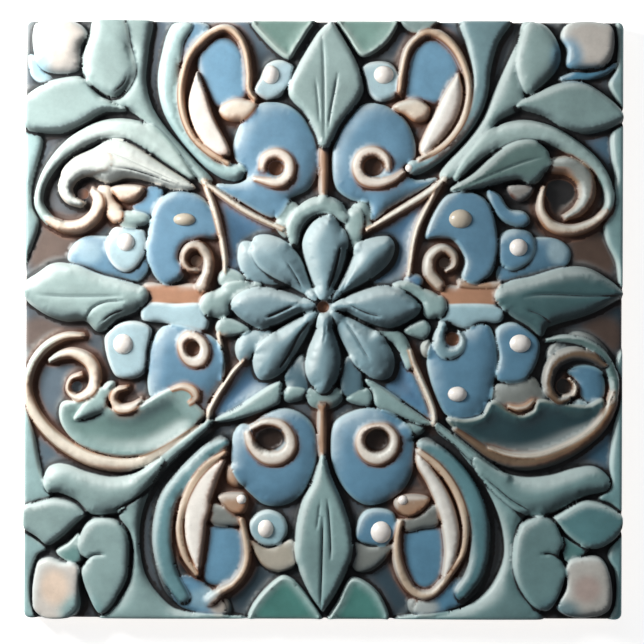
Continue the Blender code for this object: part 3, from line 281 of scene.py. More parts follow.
# %% Upper left: bud, leaves and stem
FORMS += [
    ("bud_nw", 3.6, "pillow", "bud", [(-73.8, 74.6), (-71, 76), (-66, 76.3), (-62.4, 74.8), (-60.5, 72.3),
     (-61.8, 69), (-62.2, 63.8), (-66, 62.6), (-71, 63.5), (-73.6, 67)]),
    ("cup_nw_corner", 1.4, "plate", "pale", [(-75.4, 67), (-74.6, 62.4), (-72, 60.4), (-62.5, 61.2),
     (-61.4, 64), (-66, 63.4), (-73, 67)]),
    ("leaf_nw_a", 3.6, "leaf", "sage", [(-58.3, 77), (-59.8, 72), (-61.5, 66.5), (-60.6, 61),
     (-56.5, 57.6), (-53, 56.5), (-50.4, 58.6), (-48.4, 63), (-49.6, 69), (-51.8, 77)]),
    ("leaf_nw_b", 3.5, "leaf", "sage", [(-77, 55), (-73, 58.8), (-67, 61), (-61.3, 61.2), (-58, 57.6),
     (-54, 54.8), (-50.6, 53.2), (-56, 52.6), (-62, 49.2), (-68, 47.3), (-77, 49.2)]),
    ("stem_nw", 2.7, "pillow", "sage", [(-52.5, 77), (-49.2, 68), (-49, 61), (-52.4, 56.2), (-57, 56),
     (-52, 53.6), (-47.5, 52), (-33.5, 37.4), (-31.2, 34.6), (-28.6, 35.4), (-33, 40.2), (-43, 52),
     (-45.6, 60), (-45, 69), (-44.4, 77)]),
]
print("upper left: bud, leaves and stem:", len(FORMS), "forms so far")

# %% [markdown]
# ## Upper left: arch, curl and pebble
# A long arch leaves the stem and rolls in to a cream curl. Under it lie the pale leaf, a small pod, a
# cup for a pearl, and the pebble with its scroll. A form whose name begins with another form's name
# grows out of it, and no wash is left between the two.

# %% Upper left: arch, curl and pebble
FORMS += [
    ("arch_nw", 3.2, "band", "pale_sage", [(-33.4, 36, 1.4), (-44, 45.6, 6), (-50.4, 48.2, 5.6),
     (-57, 47.8, 5), (-63.4, 44.6, 4.4), (-68.6, 40, 3), (-71.8, 34.6, 2.2), (-72.6, 29.4, 2.2),
     (-70.4, 25.6, 2.4), (-67.4, 23.8, 2.4)]),
    ("arch_nw_end", 3.6, "band", "cream", [(-69.6, 25, 2.2), (-66, 23.4, 3.2), (-61.6, 23.8, 3.6),
     (-58.2, 26.6, 3.6), (-57.4, 30.4, 3), (-58.8, 32.6, 1.8)]),
    ("leaf_nw_c", 3.9, "leaf", "white", [(-66.8, 37), (-64, 40.8), (-59, 43.2), (-55, 45.4), (-50.4, 45.1),
     (-40, 38.5), (-33, 33.6), (-38, 33.2), (-44, 35), (-50, 35.9), (-54.6, 34.7), (-60.4, 36.4),
     (-63.6, 35)]),
    ("leaf_nw_c_curl", 3.9, "band", "white", [(-56, 40.2, 5), (-60.4, 39, 5.2), (-64, 37, 4.6),
     (-65.8, 33.6, 3.8), (-64.6, 30.6, 2.8), (-61.8, 29.2, 1.8)]),
    ("moon_nw", 3.3, "pillow", "cream", [(-53.6, 33.7), (-46, 33.7), (-47, 31.2), (-49.6, 29.8),
     (-52.4, 30.7)]),
    ("pod_nw", 2.8, "pillow", "cream", [(-57.4, 33.8), (-57.6, 30), (-53.8, 24.8), (-51.6, 25.4),
     (-51.4, 28.2), (-53.2, 30.4), (-54.2, 33.8)]),
    ("nook_nw", 1.2, "plate", "panel", [(-48, 30), (-45, 33), (-41.6, 33.4), (-44, 27), (-47.6, 27.4)]),
    ("finger_nw", 2.6, "pillow", "sage", [(-53.2, 25.4), (-52, 27.4), (-46, 26.8), (-44.2, 25.2),
     (-46, 23.8), (-51, 23.8)]),
    ("cup_nw", 2.2, "pillow", "pale", [(-53, 23.3), (-55, 20.6), (-55, 16.8), (-53, 13.6), (-50.2, 12.4),
     (-47.4, 14.2), (-45.6, 18.4), (-46.4, 22.9)]),
    ("pad_w_up", 1.6, "pillow", "blue", [(-65, 15.2), (-64, 18.4), (-61, 20.8), (-57, 20.9), (-45, 20.4),
     (-44.8, 13), (-48, 9.8), (-62, 12.8)]),
    ("pebble_nw", 2.6, "pebble", "blue", [(-45, 18.6), (-43.8, 26), (-41.2, 30.9), (-37, 32.7),
     (-31.5, 31.2), (-28.2, 27), (-26.8, 21), (-31, 20.6), (-35.4, 19.4), (-37.2, 15.6), (-35.4, 12.4),
     (-37.4, 9.6), (-41, 9.3), (-43.9, 13)]),
    ("scroll_nw", 3.4, "band", "scroll", [(-31, 8.6, 3.4), (-29.6, 12, 2.8), (-29.4, 15.4, 2.7),
     (-31.6, 18.6, 2.7), (-34.4, 18.2, 2.4), (-35.8, 15.4, 2), (-34.4, 12.8, 1.6), (-32.4, 12.6, 1.2)]),
]
print("upper left: arch, curl and pebble:", len(FORMS), "forms so far")

# %% [markdown]
# ## Upper left: crescent, loop and disc
# The crescent holds a loop, the loop holds a tusk on a blue panel, and the round disc below them
# carries a ring. The strip along the tile's side belongs to the frame.

# %% Upper left: crescent, loop and disc
FORMS += [
    ("frame_w_up", 1.4, "pillow", "frame", [(-77, 49), (-73, 47.8), (-71.9, 45.4), (-74.8, 34),
     (-74.7, 28.7), (-73, 24.4), (-75.8, 15.6), (-77, 11)]),
    ("crescent_nw", 2.8, "leaf", "crescent", [(-38.6, 75), (-41.4, 67), (-42.2, 60), (-40.6, 52.6),
     (-36.4, 45.8), (-31, 39.8), (-26, 36.3), (-21.8, 35.6), (-20.2, 37.8), (-21.6, 39.4), (-26, 39.6),
     (-31.4, 43.4), (-35.6, 49.2), (-37.3, 56), (-36.4, 70), (-34, 75)]),
    ("crest_nw", 1.6, "plate", "blue", [(-37, 75), (-30, 75), (-31, 71), (-34.6, 67.4), (-37, 65)]),
    ("loop_nw", 3.3, "band", "loop", [(-24.4, 39.8, 1.4), (-29.2, 42.4, 1.5), (-33.6, 46.8, 1.6),
     (-36.1, 53, 1.7), (-36.4, 59.6, 1.8), (-34.6, 66.4, 2), (-30.4, 71.6, 2.2), (-26, 74.2, 2),
     (-23, 73.2, 1.8), (-20.4, 69, 1.7), (-19.3, 63, 1.7), (-19.2, 58.4, 1.5), (-17.6, 56, 1.2)]),
    ("panel_nw", 1.2, "pillow", "panel", [(-31.4, 67.4), (-28, 70.6), (-24.6, 70.6), (-21.4, 67),
     (-20.8, 57), (-26, 54.6), (-30, 60)]),
    ("tusk_nw", 3.2, "pillow", "tusk", [(-32.5, 63), (-32.5, 63), (-30.4, 58), (-28.3, 51.5), (-24, 42.4),
     (-25.8, 41.2), (-29.4, 43.4), (-33, 48.4), (-34.5, 55)]),
    ("stub_nw", 2.8, "pillow", "cream", [(-26.7, 53.6), (-24, 55.6), (-20.6, 56), (-17.4, 55), (-20.4, 51),
     (-23.6, 50.6), (-26, 51.8)]),
    ("disc_nw", 2.5, "pebble", "blue", [(-23, 42.4), (-22, 48), (-19, 53.6), (-14.6, 55.3), (-9, 54.3),
     (-4.8, 50.8), (-1.8, 45), (-1.6, 38.6), (-4, 33.6), (-8.4, 31), (-12.6, 26.2), (-20, 29.6),
     (-27.4, 34.2), (-22.6, 34.4), (-19.6, 36.2)]),
    ("eye_nw", 3.6, "band", "ring", [(-17.8, 35.8, 1.2), (-11.4, 34.9, 2.6), (-9, 37, 2.7),
     (-9.3, 40.6, 2.7), (-12, 42.2, 2.7), (-15, 41, 2.5), (-15.7, 38.4, 2)]),
    ("cup_n_left", 2.1, "pillow", "pale", [(-17.8, 58.2), (-16.2, 61.6), (-14.4, 65), (-11, 66),
     (-8, 64.2), (-10.8, 57.4), (-14.4, 56.2)]),
]
print("upper left: crescent, loop and disc:", len(FORMS), "forms so far")

# %% [markdown]
# ## Upper right: bud, leaves and stem
# The upper right quarter follows the same order. Its bud has blue glaze run into it.

# %% Upper right: bud, leaves and stem
FORMS += [
    ("bud_ne", 3.6, "pillow", "bud", [(60.2, 72.4), (62.6, 75.7), (72, 75.4), (73.5, 73), (72.9, 67),
     (70, 64.3), (62, 64.8), (61.8, 69)]),
    ("cup_ne_corner", 2.2, "band", "blue", [(60.2, 61.6, 1.2), (64, 62.4, 2.2), (68, 62.4, 2),
     (71.6, 63.6, 1.8), (74, 65.2, 1)]),
    ("leaf_ne_a", 3.7, "leaf", "sage", [(51.6, 75.3), (55, 75.6), (58.4, 72.2), (60, 67), (58, 62.6),
     (52.2, 57.6), (49.9, 61), (49, 66), (49.6, 71)]),
    ("leaf_ne_b", 3.5, "leaf", "sage", [(52.5, 57.2), (62, 60.8), (68, 59.6), (76.3, 51.8), (68, 47.8),
     (62, 48.8), (56, 52), (50.4, 53.8), (49, 54.4)]),
    ("stem_ne", 2.7, "pillow", "sage", [(51, 76.6), (49, 70.4), (43, 57.2), (40.6, 51.4), (37, 46.2),
     (29.6, 37.2), (31.8, 34.8), (41, 43.4), (44, 50.4), (50, 54.2), (51.4, 58.4), (49.6, 63), (50, 69.6),
     (53.5, 76.6)]),
    ("frame_e_top", 1.4, "pillow", "frame", [(77, 54), (72.9, 60), (74.4, 64), (75, 70), (74.4, 76),
     (73.4, 77), (77, 77)]),
    ("frame_e_up", 1.6, "pillow", "frame", [(77, 49.8), (73.6, 48.2), (73.6, 42), (74.4, 36), (71.4, 26),
     (72.2, 20.8), (74.8, 15), (75.6, 9), (77, 8)]),
]
print("upper right: bud, leaves and stem:", len(FORMS), "forms so far")

# %% [markdown]
# ## Upper right: arch, curl and pebble
# Here the curl is thick and open, with a deep round hollow.

# %% Upper right: arch, curl and pebble
FORMS += [
    ("arch_ne", 3.2, "band", "pale_sage", [(33.4, 36, 1.4), (38, 41.4, 3.6), (43.6, 46, 5.6),
     (50, 48.2, 5.6), (56.6, 47.4, 5), (62.6, 44.6, 4), (68.4, 40, 3.4), (72, 34.6, 2.6), (72.4, 29.6, 2),
     (70.4, 26.2, 2)]),
    ("arch_ne_end", 3.2, "band", "cream", [(71.4, 27.6, 1.8), (68.4, 24.8, 2.6), (63, 23, 3),
     (58, 24.2, 2.8), (55.4, 27.6, 2.2), (55.2, 31.4, 1.8), (56, 34, 1.2)]),
    ("leaf_ne_c", 3.9, "leaf", "sage_mid", [(32.3, 33.3), (38, 37.3), (44, 42.7), (49, 45.3), (53.6, 45.4),
     (56.8, 43), (57.2, 40), (53.6, 34.9), (49, 35.8), (38, 33.3)]),
    ("curl_ne", 3.7, "band", "shade", [(57.6, 39.4, 4), (62, 39.4, 4.8), (66.2, 36.4, 4.6), (67, 32, 4),
     (64.8, 28.2, 3), (61.6, 26.4, 1.6)]),
    ("moon_ne", 2.8, "pillow", "rust", [(46.8, 34.2), (53.2, 34), (52.2, 31.6), (50, 30.4), (47.8, 31.8)]),
    ("finger_ne", 2.4, "pillow", "blue", [(41.5, 33.2), (44.4, 32), (47, 28.4), (51, 27.4), (52.3, 25.2),
     (50.6, 23.9), (46, 25.3), (43.4, 28)]),
    ("cup_ne", 2.2, "pillow", "blue", [(45.2, 21.8), (49, 23.2), (52.6, 22), (53.5, 18.6), (52, 15.2),
     (48.4, 13.2), (45.4, 14.4), (44.4, 18)]),
    ("pad_e_up", 1.6, "pillow", "blue", [(45, 21), (54, 21), (59.6, 20.5), (62.6, 17.4), (61, 13.6),
     (45, 9.9), (44.2, 15)]),
    ("pebble_ne", 2.6, "pebble", "blue", [(30.4, 30.9), (36, 32.8), (40.8, 30.8), (43.4, 25.4), (44, 18),
     (42.6, 12), (38.6, 9.6), (35.4, 11), (36, 15.4), (33.4, 20.2), (29.6, 21), (26, 21.4)]),
    ("scroll_ne", 3.4, "band", "scroll", [(29.4, 9, 3), (27, 12, 3.2), (27.2, 16, 3), (30, 18.2, 2.6),
     (32.8, 16.8, 2.2), (33.2, 14, 1.6), (31.2, 12.6, 1)]),
]
print("upper right: arch, curl and pebble:", len(FORMS), "forms so far")

# %% [markdown]
# ## Upper right: crescent, loop and disc
# The crescent on this side reaches the upper edge, and the ring closes into a spiral.

# %% Upper right: crescent, loop and disc
FORMS += [
    ("crescent_ne", 2.8, "leaf", "crescent_mid", [(21, 38.8), (22.2, 37.1), (25.2, 37.8), (30, 40.9),
     (35, 45.6), (39, 51), (41.4, 57), (42.2, 64), (44, 70.6), (47.4, 77), (35, 77), (36.4, 70),
     (37.8, 62), (37, 54.5), (34, 48.6), (29.6, 43.6), (25.4, 40.8), (22.4, 40.4)]),
    ("loop_ne", 3.3, "band", "loop", [(24, 40.9, 1.2), (28.8, 43.4, 1.5), (32.6, 47, 1.6),
     (35.4, 51.8, 1.7), (36.7, 57.6, 1.8), (36.2, 62.6, 1.9), (33.4, 68.8, 2.1), (29, 72.8, 2.3),
     (25, 72.7, 2), (21.4, 69.4, 1.8), (19.8, 64, 1.7), (19.2, 58, 1.6)]),
    ("cap_ne", 2.4, "pillow", "sage", [(18.8, 77), (20.4, 74.8), (24, 73.2), (27.2, 74.4), (29, 77)]),
    ("panel_ne", 1.2, "pillow", "panel", [(21.6, 66), (24.5, 70.4), (28.4, 71), (32, 68), (34, 62.5),
     (30, 56.5), (26, 56.3), (21.4, 57)]),
    ("tusk_ne", 3.2, "pillow", "tusk", [(34, 62.8), (34, 62.8), (35.2, 58), (34.2, 52.4), (31, 47),
     (27, 43.2), (24.8, 42.4), (24.6, 45), (31, 58.3)]),
    ("stub_ne", 2.8, "pillow", "cream", [(17.5, 54.2), (20, 55.8), (23.7, 56), (26.6, 54.2), (26.2, 51.4),
     (23.4, 50.6), (20.6, 52.4)]),
    ("disc_ne", 2.5, "pebble", "blue", [(2.1, 40), (3, 46.4), (6.2, 52), (10.5, 54.9), (15.6, 54.4),
     (20.4, 51), (22.9, 45), (22.7, 40.4), (20.6, 38.8), (23, 35.6), (28.4, 36), (16, 28.4), (12.4, 25.6),
     (11.6, 29.8), (6.8, 31), (3.2, 34)]),
    ("eye_ne", 3.6, "band", "ring", [(20, 37.6, 1.4), (17.4, 35.8, 2), (13.6, 34.8, 2.6), (9.8, 35.8, 2.8),
     (8.4, 39, 2.8), (9.8, 42, 2.8), (13, 42.7, 2.7), (15.7, 40.8, 2.2), (16.3, 38.4, 1.4)]),
    ("cup_n_right", 2.1, "pillow", "pale", [(9.7, 64.4), (13, 65.7), (17, 65), (19, 61), (18.4, 57.2),
     (14.6, 55.8), (11.6, 57.6), (10.4, 61.4)]),
]
print("upper right: crescent, loop and disc:", len(FORMS), "forms so far")

# %% [markdown]
# ## Lower left: bud, leaves and stem
# The lower quarters have one leaf with a notch, and the stem widens into the corner.

# %% Lower left: bud, leaves and stem
FORMS += [
    ("bud_sw", 3.6, "pillow", "bud", [(-73.6, -73), (-72.6, -62.4), (-70, -60.9), (-66.6, -61.8),
     (-62.2, -62.8), (-61.9, -68), (-62.1, -73.6), (-65, -76), (-70.6, -76)]),
    ("leaf_sw_a", 3.7, "leaf", "sage", [(-57.5, -50.6), (-53, -51.2), (-50, -54.6), (-49.3, -61),
     (-50.4, -67.4), (-56.3, -74.8), (-59.8, -69.4), (-61.3, -64), (-59.8, -61), (-60.8, -60.3),
     (-62, -57), (-60.4, -52.4)]),
    ("leaf_sw_b", 3.5, "leaf", "sage", [(-77, -48.2), (-73, -46.8), (-68.5, -45.8), (-63.5, -47),
     (-60.2, -49.6), (-60.2, -49.6), (-69.5, -57.3), (-73, -55.2), (-77, -52.2)]),
    ("sprig_sw", 2.4, "pillow", "teal", [(-67.8, -59.2), (-64.6, -56.8), (-62.2, -54.6), (-61.8, -58),
     (-61.2, -61), (-63.4, -62.4)]),
    ("stem_sw", 2.7, "pillow", "sage", [(-29.4, -26.4), (-48, -42), (-52, -49.6), (-48.8, -55),
     (-48.6, -63), (-51, -69.4), (-56, -75), (-57, -77), (-18.4, -77), (-21, -75.8), (-37, -74.2),
     (-42, -70.5), (-45.6, -65), (-47, -57), (-46.4, -49.6), (-43.8, -43), (-39, -36.8), (-33, -31.4),
     (-28.6, -28)]),
    ("leaf_sw_c", 3.8, "leaf", "sage", [(-71, -41), (-69.6, -37.8), (-66, -37.2), (-60, -39.2),
     (-53.5, -40.4), (-47, -39), (-41, -35.6), (-43, -41), (-50, -47), (-52.4, -49.2), (-59, -49.4),
     (-62.6, -46), (-67, -44.1), (-69.8, -43.8)]),
]
print("lower left: bud, leaves and stem:", len(FORMS), "forms so far")

# %% [markdown]
# ## Lower left: arch, boat and pebble
# The arch swings below a form like a boat, whose floor is sunk and whose lip is raised. A blade and a
# small wave rise from its lip, and a curl stands over it.

# %% Lower left: arch, boat and pebble
FORMS += [
    ("frame_w_low", 1.4, "pillow", "frame", [(-77, -21), (-75, -25), (-72, -39.4), (-69.4, -45),
     (-73, -46.2), (-77, -47.4)]),
    ("frame_w_foot", 1.4, "pillow", "frame", [(-77, -53.4), (-73.4, -56), (-70.4, -58.4), (-73, -60.2),
     (-74.8, -66), (-74.6, -72), (-73.4, -77), (-77, -77)]),
    ("arch_sw", 3, "band", "rope", [(-61.4, -4.2, 1.4), (-66, -4.5, 2), (-70.6, -7, 2.2),
     (-74, -11.4, 2.2), (-75.4, -17, 2.4), (-74, -23, 2.8), (-70.6, -28, 3), (-65.4, -32.4, 3.4),
     (-58, -36, 3.8), (-50, -37, 3.6), (-43, -35, 2.8), (-31, -26.8, 1.2)]),
    ("boat_sw", 2.9, "boat", "boat_sw", [(-66.6, -21.6), (-66.6, -26.5), (-62.4, -31.6), (-55.5, -34.4),
     (-48.4, -34.9), (-41, -32.8), (-30.4, -24.8), (-33, -21), (-33.4, -18.4), (-36, -16.8), (-44, -20.2),
     (-49, -22.9), (-54.4, -22.4), (-55.4, -19.2), (-57.2, -17.2), (-61.6, -20.4)]),
    ("stalk_sw", 3.3, "band", "sage", [(-47, -41, 4), (-41, -36.6, 3), (-31.2, -28.2, 1.8),
     (-28.9, -26, 1.6)]),
    ("curl_sw", 3.6, "band", "cream", [(-69.6, -10.6, 1.2), (-66.6, -9.1, 2.2), (-63.4, -8.8, 2.8),
     (-59.6, -10.8, 3.2), (-58, -14.6, 3.2), (-59.4, -18.4, 2.6), (-62.8, -19.9, 1.8), (-65, -18, 1.2),
     (-64.2, -15.2, 1.2), (-61.8, -14.2, 1.4)]),
    ("boat_sw_blade", 3.4, "pillow", "boat_sw", [(-63.2, -25.2), (-55.6, -16.4), (-53.4, -16.2),
     (-54, -19.6), (-57, -23.6)]),
    ("hook_sw", 3.4, "band", "cream", [(-50, -17.4, 1.2), (-52.6, -18.2, 1.8), (-53.4, -20.6, 2.2),
     (-51.8, -22.6, 2.4), (-49, -22.4, 2.2), (-46.6, -20.8, 1.2)]),
    ("cup_sw", 2.4, "pillow", "pale", [(-55.6, -5.2), (-53.5, -2), (-49.8, -0.6), (-45.5, -1.3), (-44, -3),
     (-44.8, -8), (-45.6, -13.4), (-49.4, -15.1), (-53.2, -13.8)]),
    ("pebble_sw", 2.6, "pebble", "blue", [(-40, -1.7), (-42.8, -4.2), (-44.3, -9), (-43.8, -20),
     (-39, -20.6), (-35.6, -24.2), (-31, -24.6), (-29.2, -20.4), (-26, -15.6), (-25.4, -10), (-28, -5),
     (-34, -2.4)]),
    ("scroll_sw", 3.5, "band", "ring", [(-31.4, -5.4, 2.8), (-34.2, -4.2, 2.6), (-36, -5.8, 2.2),
     (-35.6, -8.6, 2.3), (-33.8, -10.6, 2.6), (-31.4, -10.6, 2.9), (-30.4, -8, 3), (-31.4, -5.4, 2.8)]),
    ("boat_sw_wave", 3.4, "band", "cream", [(-38.6, -17.8, 1), (-35.8, -17, 1.6), (-33.2, -17.9, 2),
     (-32.4, -20, 1.8), (-34, -21.2, 1.2)]),
]
print("lower left: arch, boat and pebble:", len(FORMS), "forms so far")

# %% [markdown]
# ## Lower left: disc, crescent and loop
# The crescent is a raised crest beside a deep, dark channel, and the loop is open where the tusk
# crosses it.

# %% Lower left: disc, crescent and loop
FORMS += [
    ("disc_sw", 2.5, "pebble", "blue", [(-22.8, -29.8), (-21, -26.9), (-18.6, -26.8), (-14.6, -24),
     (-10.4, -22.8), (-6, -24.1), (-2.8, -27.3), (-1.6, -32.5), (-2.6, -39), (-6, -44.8), (-11, -47.2),
     (-16, -46.2), (-22.8, -38.4)]),
    ("eye_sw", 3.6, "band", "ring", [(-19.4, -28.6, 1.6), (-18, -32, 2.8), (-14.6, -34.8, 3.6),
     (-11, -35, 3.4), (-8.5, -32.8, 3), (-8.6, -29.4, 2.6), (-10.8, -26.6, 2.2), (-14.8, -26, 1.8),
     (-18.2, -27.4, 1.5)]),
    ("knob_sw", 2, "pillow", "tan", [(-24.4, -37), (-24.4, -40.8), (-22.6, -42.3), (-20, -42),
     (-21.6, -38)]),
    ("crescent_sw", 1.4, "plate", "hollow_deep", [(-24, -31.6), (-26.2, -29.9), (-30.4, -32.2),
     (-40.4, -43), (-43, -50.6), (-43.3, -58), (-41.4, -66), (-38, -71.6), (-32, -74.4), (-24, -75.4),
     (-24.6, -71.4), (-34.4, -64.4), (-37.6, -57), (-37.8, -49), (-35, -41.4), (-29.6, -35.2)]),
    ("crest_sw", 2.9, "band", "crescent_blue", [(-25.6, -31.8, 3.2), (-29.6, -34, 4), (-38.4, -44.4, 5),
     (-40.6, -51, 5), (-40.8, -58, 4.8), (-39, -65, 4), (-35.6, -70.6, 3)]),
    ("foot_sw", 1.8, "pillow", "panel", [(-38, -67), (-33.6, -66.4), (-26.6, -72), (-26, -75),
     (-32, -74.2), (-36.6, -71.6)]),
    ("loop_sw", 3.3, "band", "loop", [(-25, -33.9, 1.6), (-29.4, -36.9, 2), (-33.2, -41.6, 2),
     (-35.8, -47.8, 2), (-36.5, -54, 2), (-35, -60.4, 1.8), (-32, -64.9, 1.4)]),
    ("loop_sw_right", 3.2, "band", "loop", [(-20.8, -50.8, 1.4), (-19.2, -59, 2), (-20, -63.6, 2),
     (-22.8, -67.4, 2), (-26.4, -69.4, 2.4), (-28.6, -71.4, 2.6)]),
    ("panel_sw", 1.2, "pillow", "panel", [(-29.6, -53.6), (-25, -53.4), (-21.2, -54.8), (-20.9, -60),
     (-22.6, -65), (-26, -67.1), (-29.6, -65.6)]),
    ("tusk_sw", 3.2, "pillow", "tusk", [(-25, -35.4), (-29.6, -38.3), (-33.6, -43.6), (-35.2, -50.6),
     (-34.6, -57.4), (-31.4, -65.2), (-31.4, -65.2), (-29.2, -49), (-27, -41.4)]),
    ("slab_sw", 2, "pillow", "grey", [(-29, -47), (-25.6, -47.4), (-20.8, -50.5), (-21.3, -52.4),
     (-29.2, -51.4)]),
    ("stub_sw", 2.8, "pillow", "tan", [(-26.6, -45), (-20.6, -44.2), (-19.2, -46), (-20.4, -49.2),
     (-23.6, -48.6)]),
    ("cup_s_left", 2.1, "pillow", "pale", [(-18.6, -52.2), (-16.8, -49.6), (-13.6, -48.7), (-10.4, -50.4),
     (-9.2, -54), (-11.2, -57), (-14.6, -57.4), (-17.8, -55.2)]),
    ("chin_sw", 1.8, "pillow", "cream_grey", [(-18.6, -56), (-14, -58.2), (-8, -56), (-6.4, -59.4),
     (-7, -62.6), (-11.6, -64.1), (-15.6, -62)]),
]
print("lower left: disc, crescent and loop:", len(FORMS), "forms so far")

# %% [markdown]
# ## Lower right: bud, leaves and stem
# The lower right quarter lies furthest from the light, and its glazes are darker, partly as painted shade.

# %% Lower right: bud, leaves and stem
FORMS += [
    ("bud_se", 3.6, "pillow", "bud", [(62, -61.9), (67, -60), (70.6, -60.6), (72.8, -64.4), (73.5, -70.4),
     (72.4, -73.8), (68, -75.2), (62.4, -74.9), (59.6, -72.6), (61.8, -68)]),
    ("leaf_se_a", 3.7, "leaf", "sage", [(50, -52.6), (53.4, -50.2), (56.6, -49.9), (59.4, -52.2),
     (60.8, -56.6), (60, -59.6), (61.6, -63.4), (60.4, -69), (57.6, -73.4), (54.8, -73.2), (50.4, -68),
     (48.6, -61.4)]),
    ("leaf_se_b", 3.5, "leaf", "rimmed", [(58.6, -50), (58.6, -50), (67, -45.9), (76.2, -49.8),
     (75.4, -54), (71.4, -57.3), (67.6, -57.8), (62.4, -54.6)]),
    ("sprig_se", 2.4, "pillow", "teal", [(60.8, -54.8), (64, -56.6), (67.6, -58.3), (61.8, -61.3)]),
    ("stem_se", 2.7, "pillow", "sage", [(29.2, -26.4), (40, -36), (47, -40), (52, -48), (49.4, -53),
     (48.6, -61), (50.4, -68), (55, -73.6), (55.6, -77), (17.4, -77), (20, -75.7), (30, -74.7),
     (38, -72.4), (43, -68), (46.3, -61), (46.2, -54), (44, -47), (40, -40), (34.4, -32.9),
     (28.4, -27.6)]),
    ("leaf_se_c", 3.8, "leaf", "sage", [(38.4, -35), (44, -38.2), (51, -40.1), (58, -39.6), (64, -37.9),
     (69, -37.5), (72.6, -40.2), (72.4, -42.8), (67, -44.4), (57, -49.3), (51, -49), (40, -39.8)]),
]
print("lower right: bud, leaves and stem:", len(FORMS), "forms so far")

# %% [markdown]
# ## Lower right: arch, boat and pebble
# This arch is brown below with a thin white crest above, so it is drawn as two bands, one on the other.

# %% Lower right: arch, boat and pebble
FORMS += [
    ("frame_e_low", 1.4, "pillow", "frame", [(77, -7), (74.8, -10), (74.2, -15), (75.4, -20), (74.4, -27),
     (73.4, -36), (73.4, -42), (70.4, -45.2), (73.4, -46.4), (77, -49)]),
    ("frame_e_foot", 1.4, "pillow", "frame", [(77, -54), (74, -57), (73, -60), (74.8, -64), (74.8, -72),
     (73.4, -77), (77, -77)]),
    # shade_arch_se is a low grey plate laid where the curl casts its shadow: a painted shadow.
    ("shade_arch_se", 1.3, "plate", "slate", [(57, -8), (60.4, -4.5), (64.6, -3), (69.4, -4.8), (73, -9),
     (74.4, -14), (66, -12), (58, -12)]),
    ("arch_se", 3, "band", "tan_deep", [(74.2, -15, 1.6), (73.6, -21.4, 2.4), (70.4, -27, 3),
     (64.6, -31.8, 3.4), (57.6, -35.2, 3.6), (50.4, -36.4, 3.4), (43.6, -34.6, 3), (33.4, -27.8, 1.4)]),
    ("arch_se_top", 3, "band", "sage_mid", [(56.8, -5, 0.8), (61.6, -4.4, 1.6), (67.6, -6, 2),
     (72, -10.2, 2.2), (74, -15.6, 2.2), (73.8, -20, 1.8)]),
    ("arch_se_crest", 3.4, "band", "rope", [(73.2, -18, 0.8), (71.4, -23.6, 1.2), (67.4, -28.2, 1.4),
     (61.4, -31.8, 1.5), (54.6, -34.2, 1.5), (48, -34.2, 1.2), (42, -32.4, 0.9)]),
    ("curl_se", 3.3, "band", "tan_deep", [(71.4, -11.4, 1.2), (68, -9, 2.6), (63.4, -8.4, 3.4),
     (59.2, -10.2, 3.6), (57.4, -13.8, 3.2), (57.4, -17.4, 2.6), (59.6, -20.2, 1.8), (62.4, -20, 1.2)]),
    ("boat_se", 2.8, "boat", "boat_se", [(31.5, -25), (36, -25.4), (40.4, -24.2), (42.8, -20.6),
     (46.6, -22.8), (50, -24.2), (53.4, -23), (54.6, -20.4), (58.4, -20.8), (67, -21.6), (71, -20),
     (71.2, -24), (66.4, -29), (59, -33), (51, -35), (43.6, -33.6), (33.6, -27.6)]),
    ("stalk_se", 3.3, "band", "sage", [(46, -40.6, 3.6), (40, -35.8, 2.4), (34, -30.8, 1.8),
     (29, -26.8, 1.4)]),
    ("eye_panel_se", 1.6, "pillow", "blue", [(62.4, -12.8), (66.6, -11.6), (70.6, -13), (71.6, -17.6),
     (70.6, -21.6), (68.4, -22.6), (65.4, -18.8), (64.2, -15)]),
    ("hook_se_eye", 3, "band", "cream", [(62.6, -14.8, 0.8), (64, -16.6, 1.3), (63.6, -18.8, 1.5),
     (61, -19.3, 1.1)]),
    ("lobe_se", 2, "pillow", "pale", [(55.6, -20.6), (58.6, -19.8), (63, -20.4), (65.4, -20),
     (67.6, -22.4), (64.4, -24.8), (60.6, -23.2)]),
    ("shell_se", 2.2, "pillow", "grey", [(43.4, -16.8), (48, -15.6), (53, -14.4), (55.4, -17), (58.4, -20),
     (55, -20.8), (52.6, -23.4), (48, -23.6), (43, -20.9)]),
    ("hook_se", 3, "band", "cream", [(47.2, -21.8, 1), (49.4, -22.3, 1.5), (51.6, -21.8, 1.5),
     (53.2, -20.4, 1)]),
    ("cup_se", 2.4, "pillow", "blue", [(44, -2.8), (46, -0.9), (49.6, -1), (54.9, -6), (51.8, -14.4),
     (44.4, -15), (44.8, -9)]),
    ("pebble_se", 2.6, "pebble", "blue", [(36.4, -2.6), (39.4, -1.2), (42, -1.6), (43.8, -6.4), (44, -12),
     (42.8, -18), (42.2, -21), (39.6, -24.4), (34, -25.4), (30.4, -22.6), (26.8, -12.4), (27.6, -6)]),
    ("scroll_se", 3.4, "band", "petal", [(30.4, -1.6, 2.4), (29.2, -5.4, 3), (31, -8.4, 2.6),
     (34, -7.8, 1.8), (35.3, -5.2, 1.2), (34.4, -3, 0.9)]),
    ("scroll_se_low", 2.2, "pillow", "grey", [(25.4, -5.6), (26.6, -4.8), (27.5, -6.6), (27.2, -9),
     (25.8, -9.2), (25, -7.4)]),
]
print("lower right: arch, boat and pebble:", len(FORMS), "forms so far")

# %% [markdown]
# ## Lower right: disc, crescent and loop
# The last group closes the pattern. The ring on this disc is the widest, with a black hollow in it.

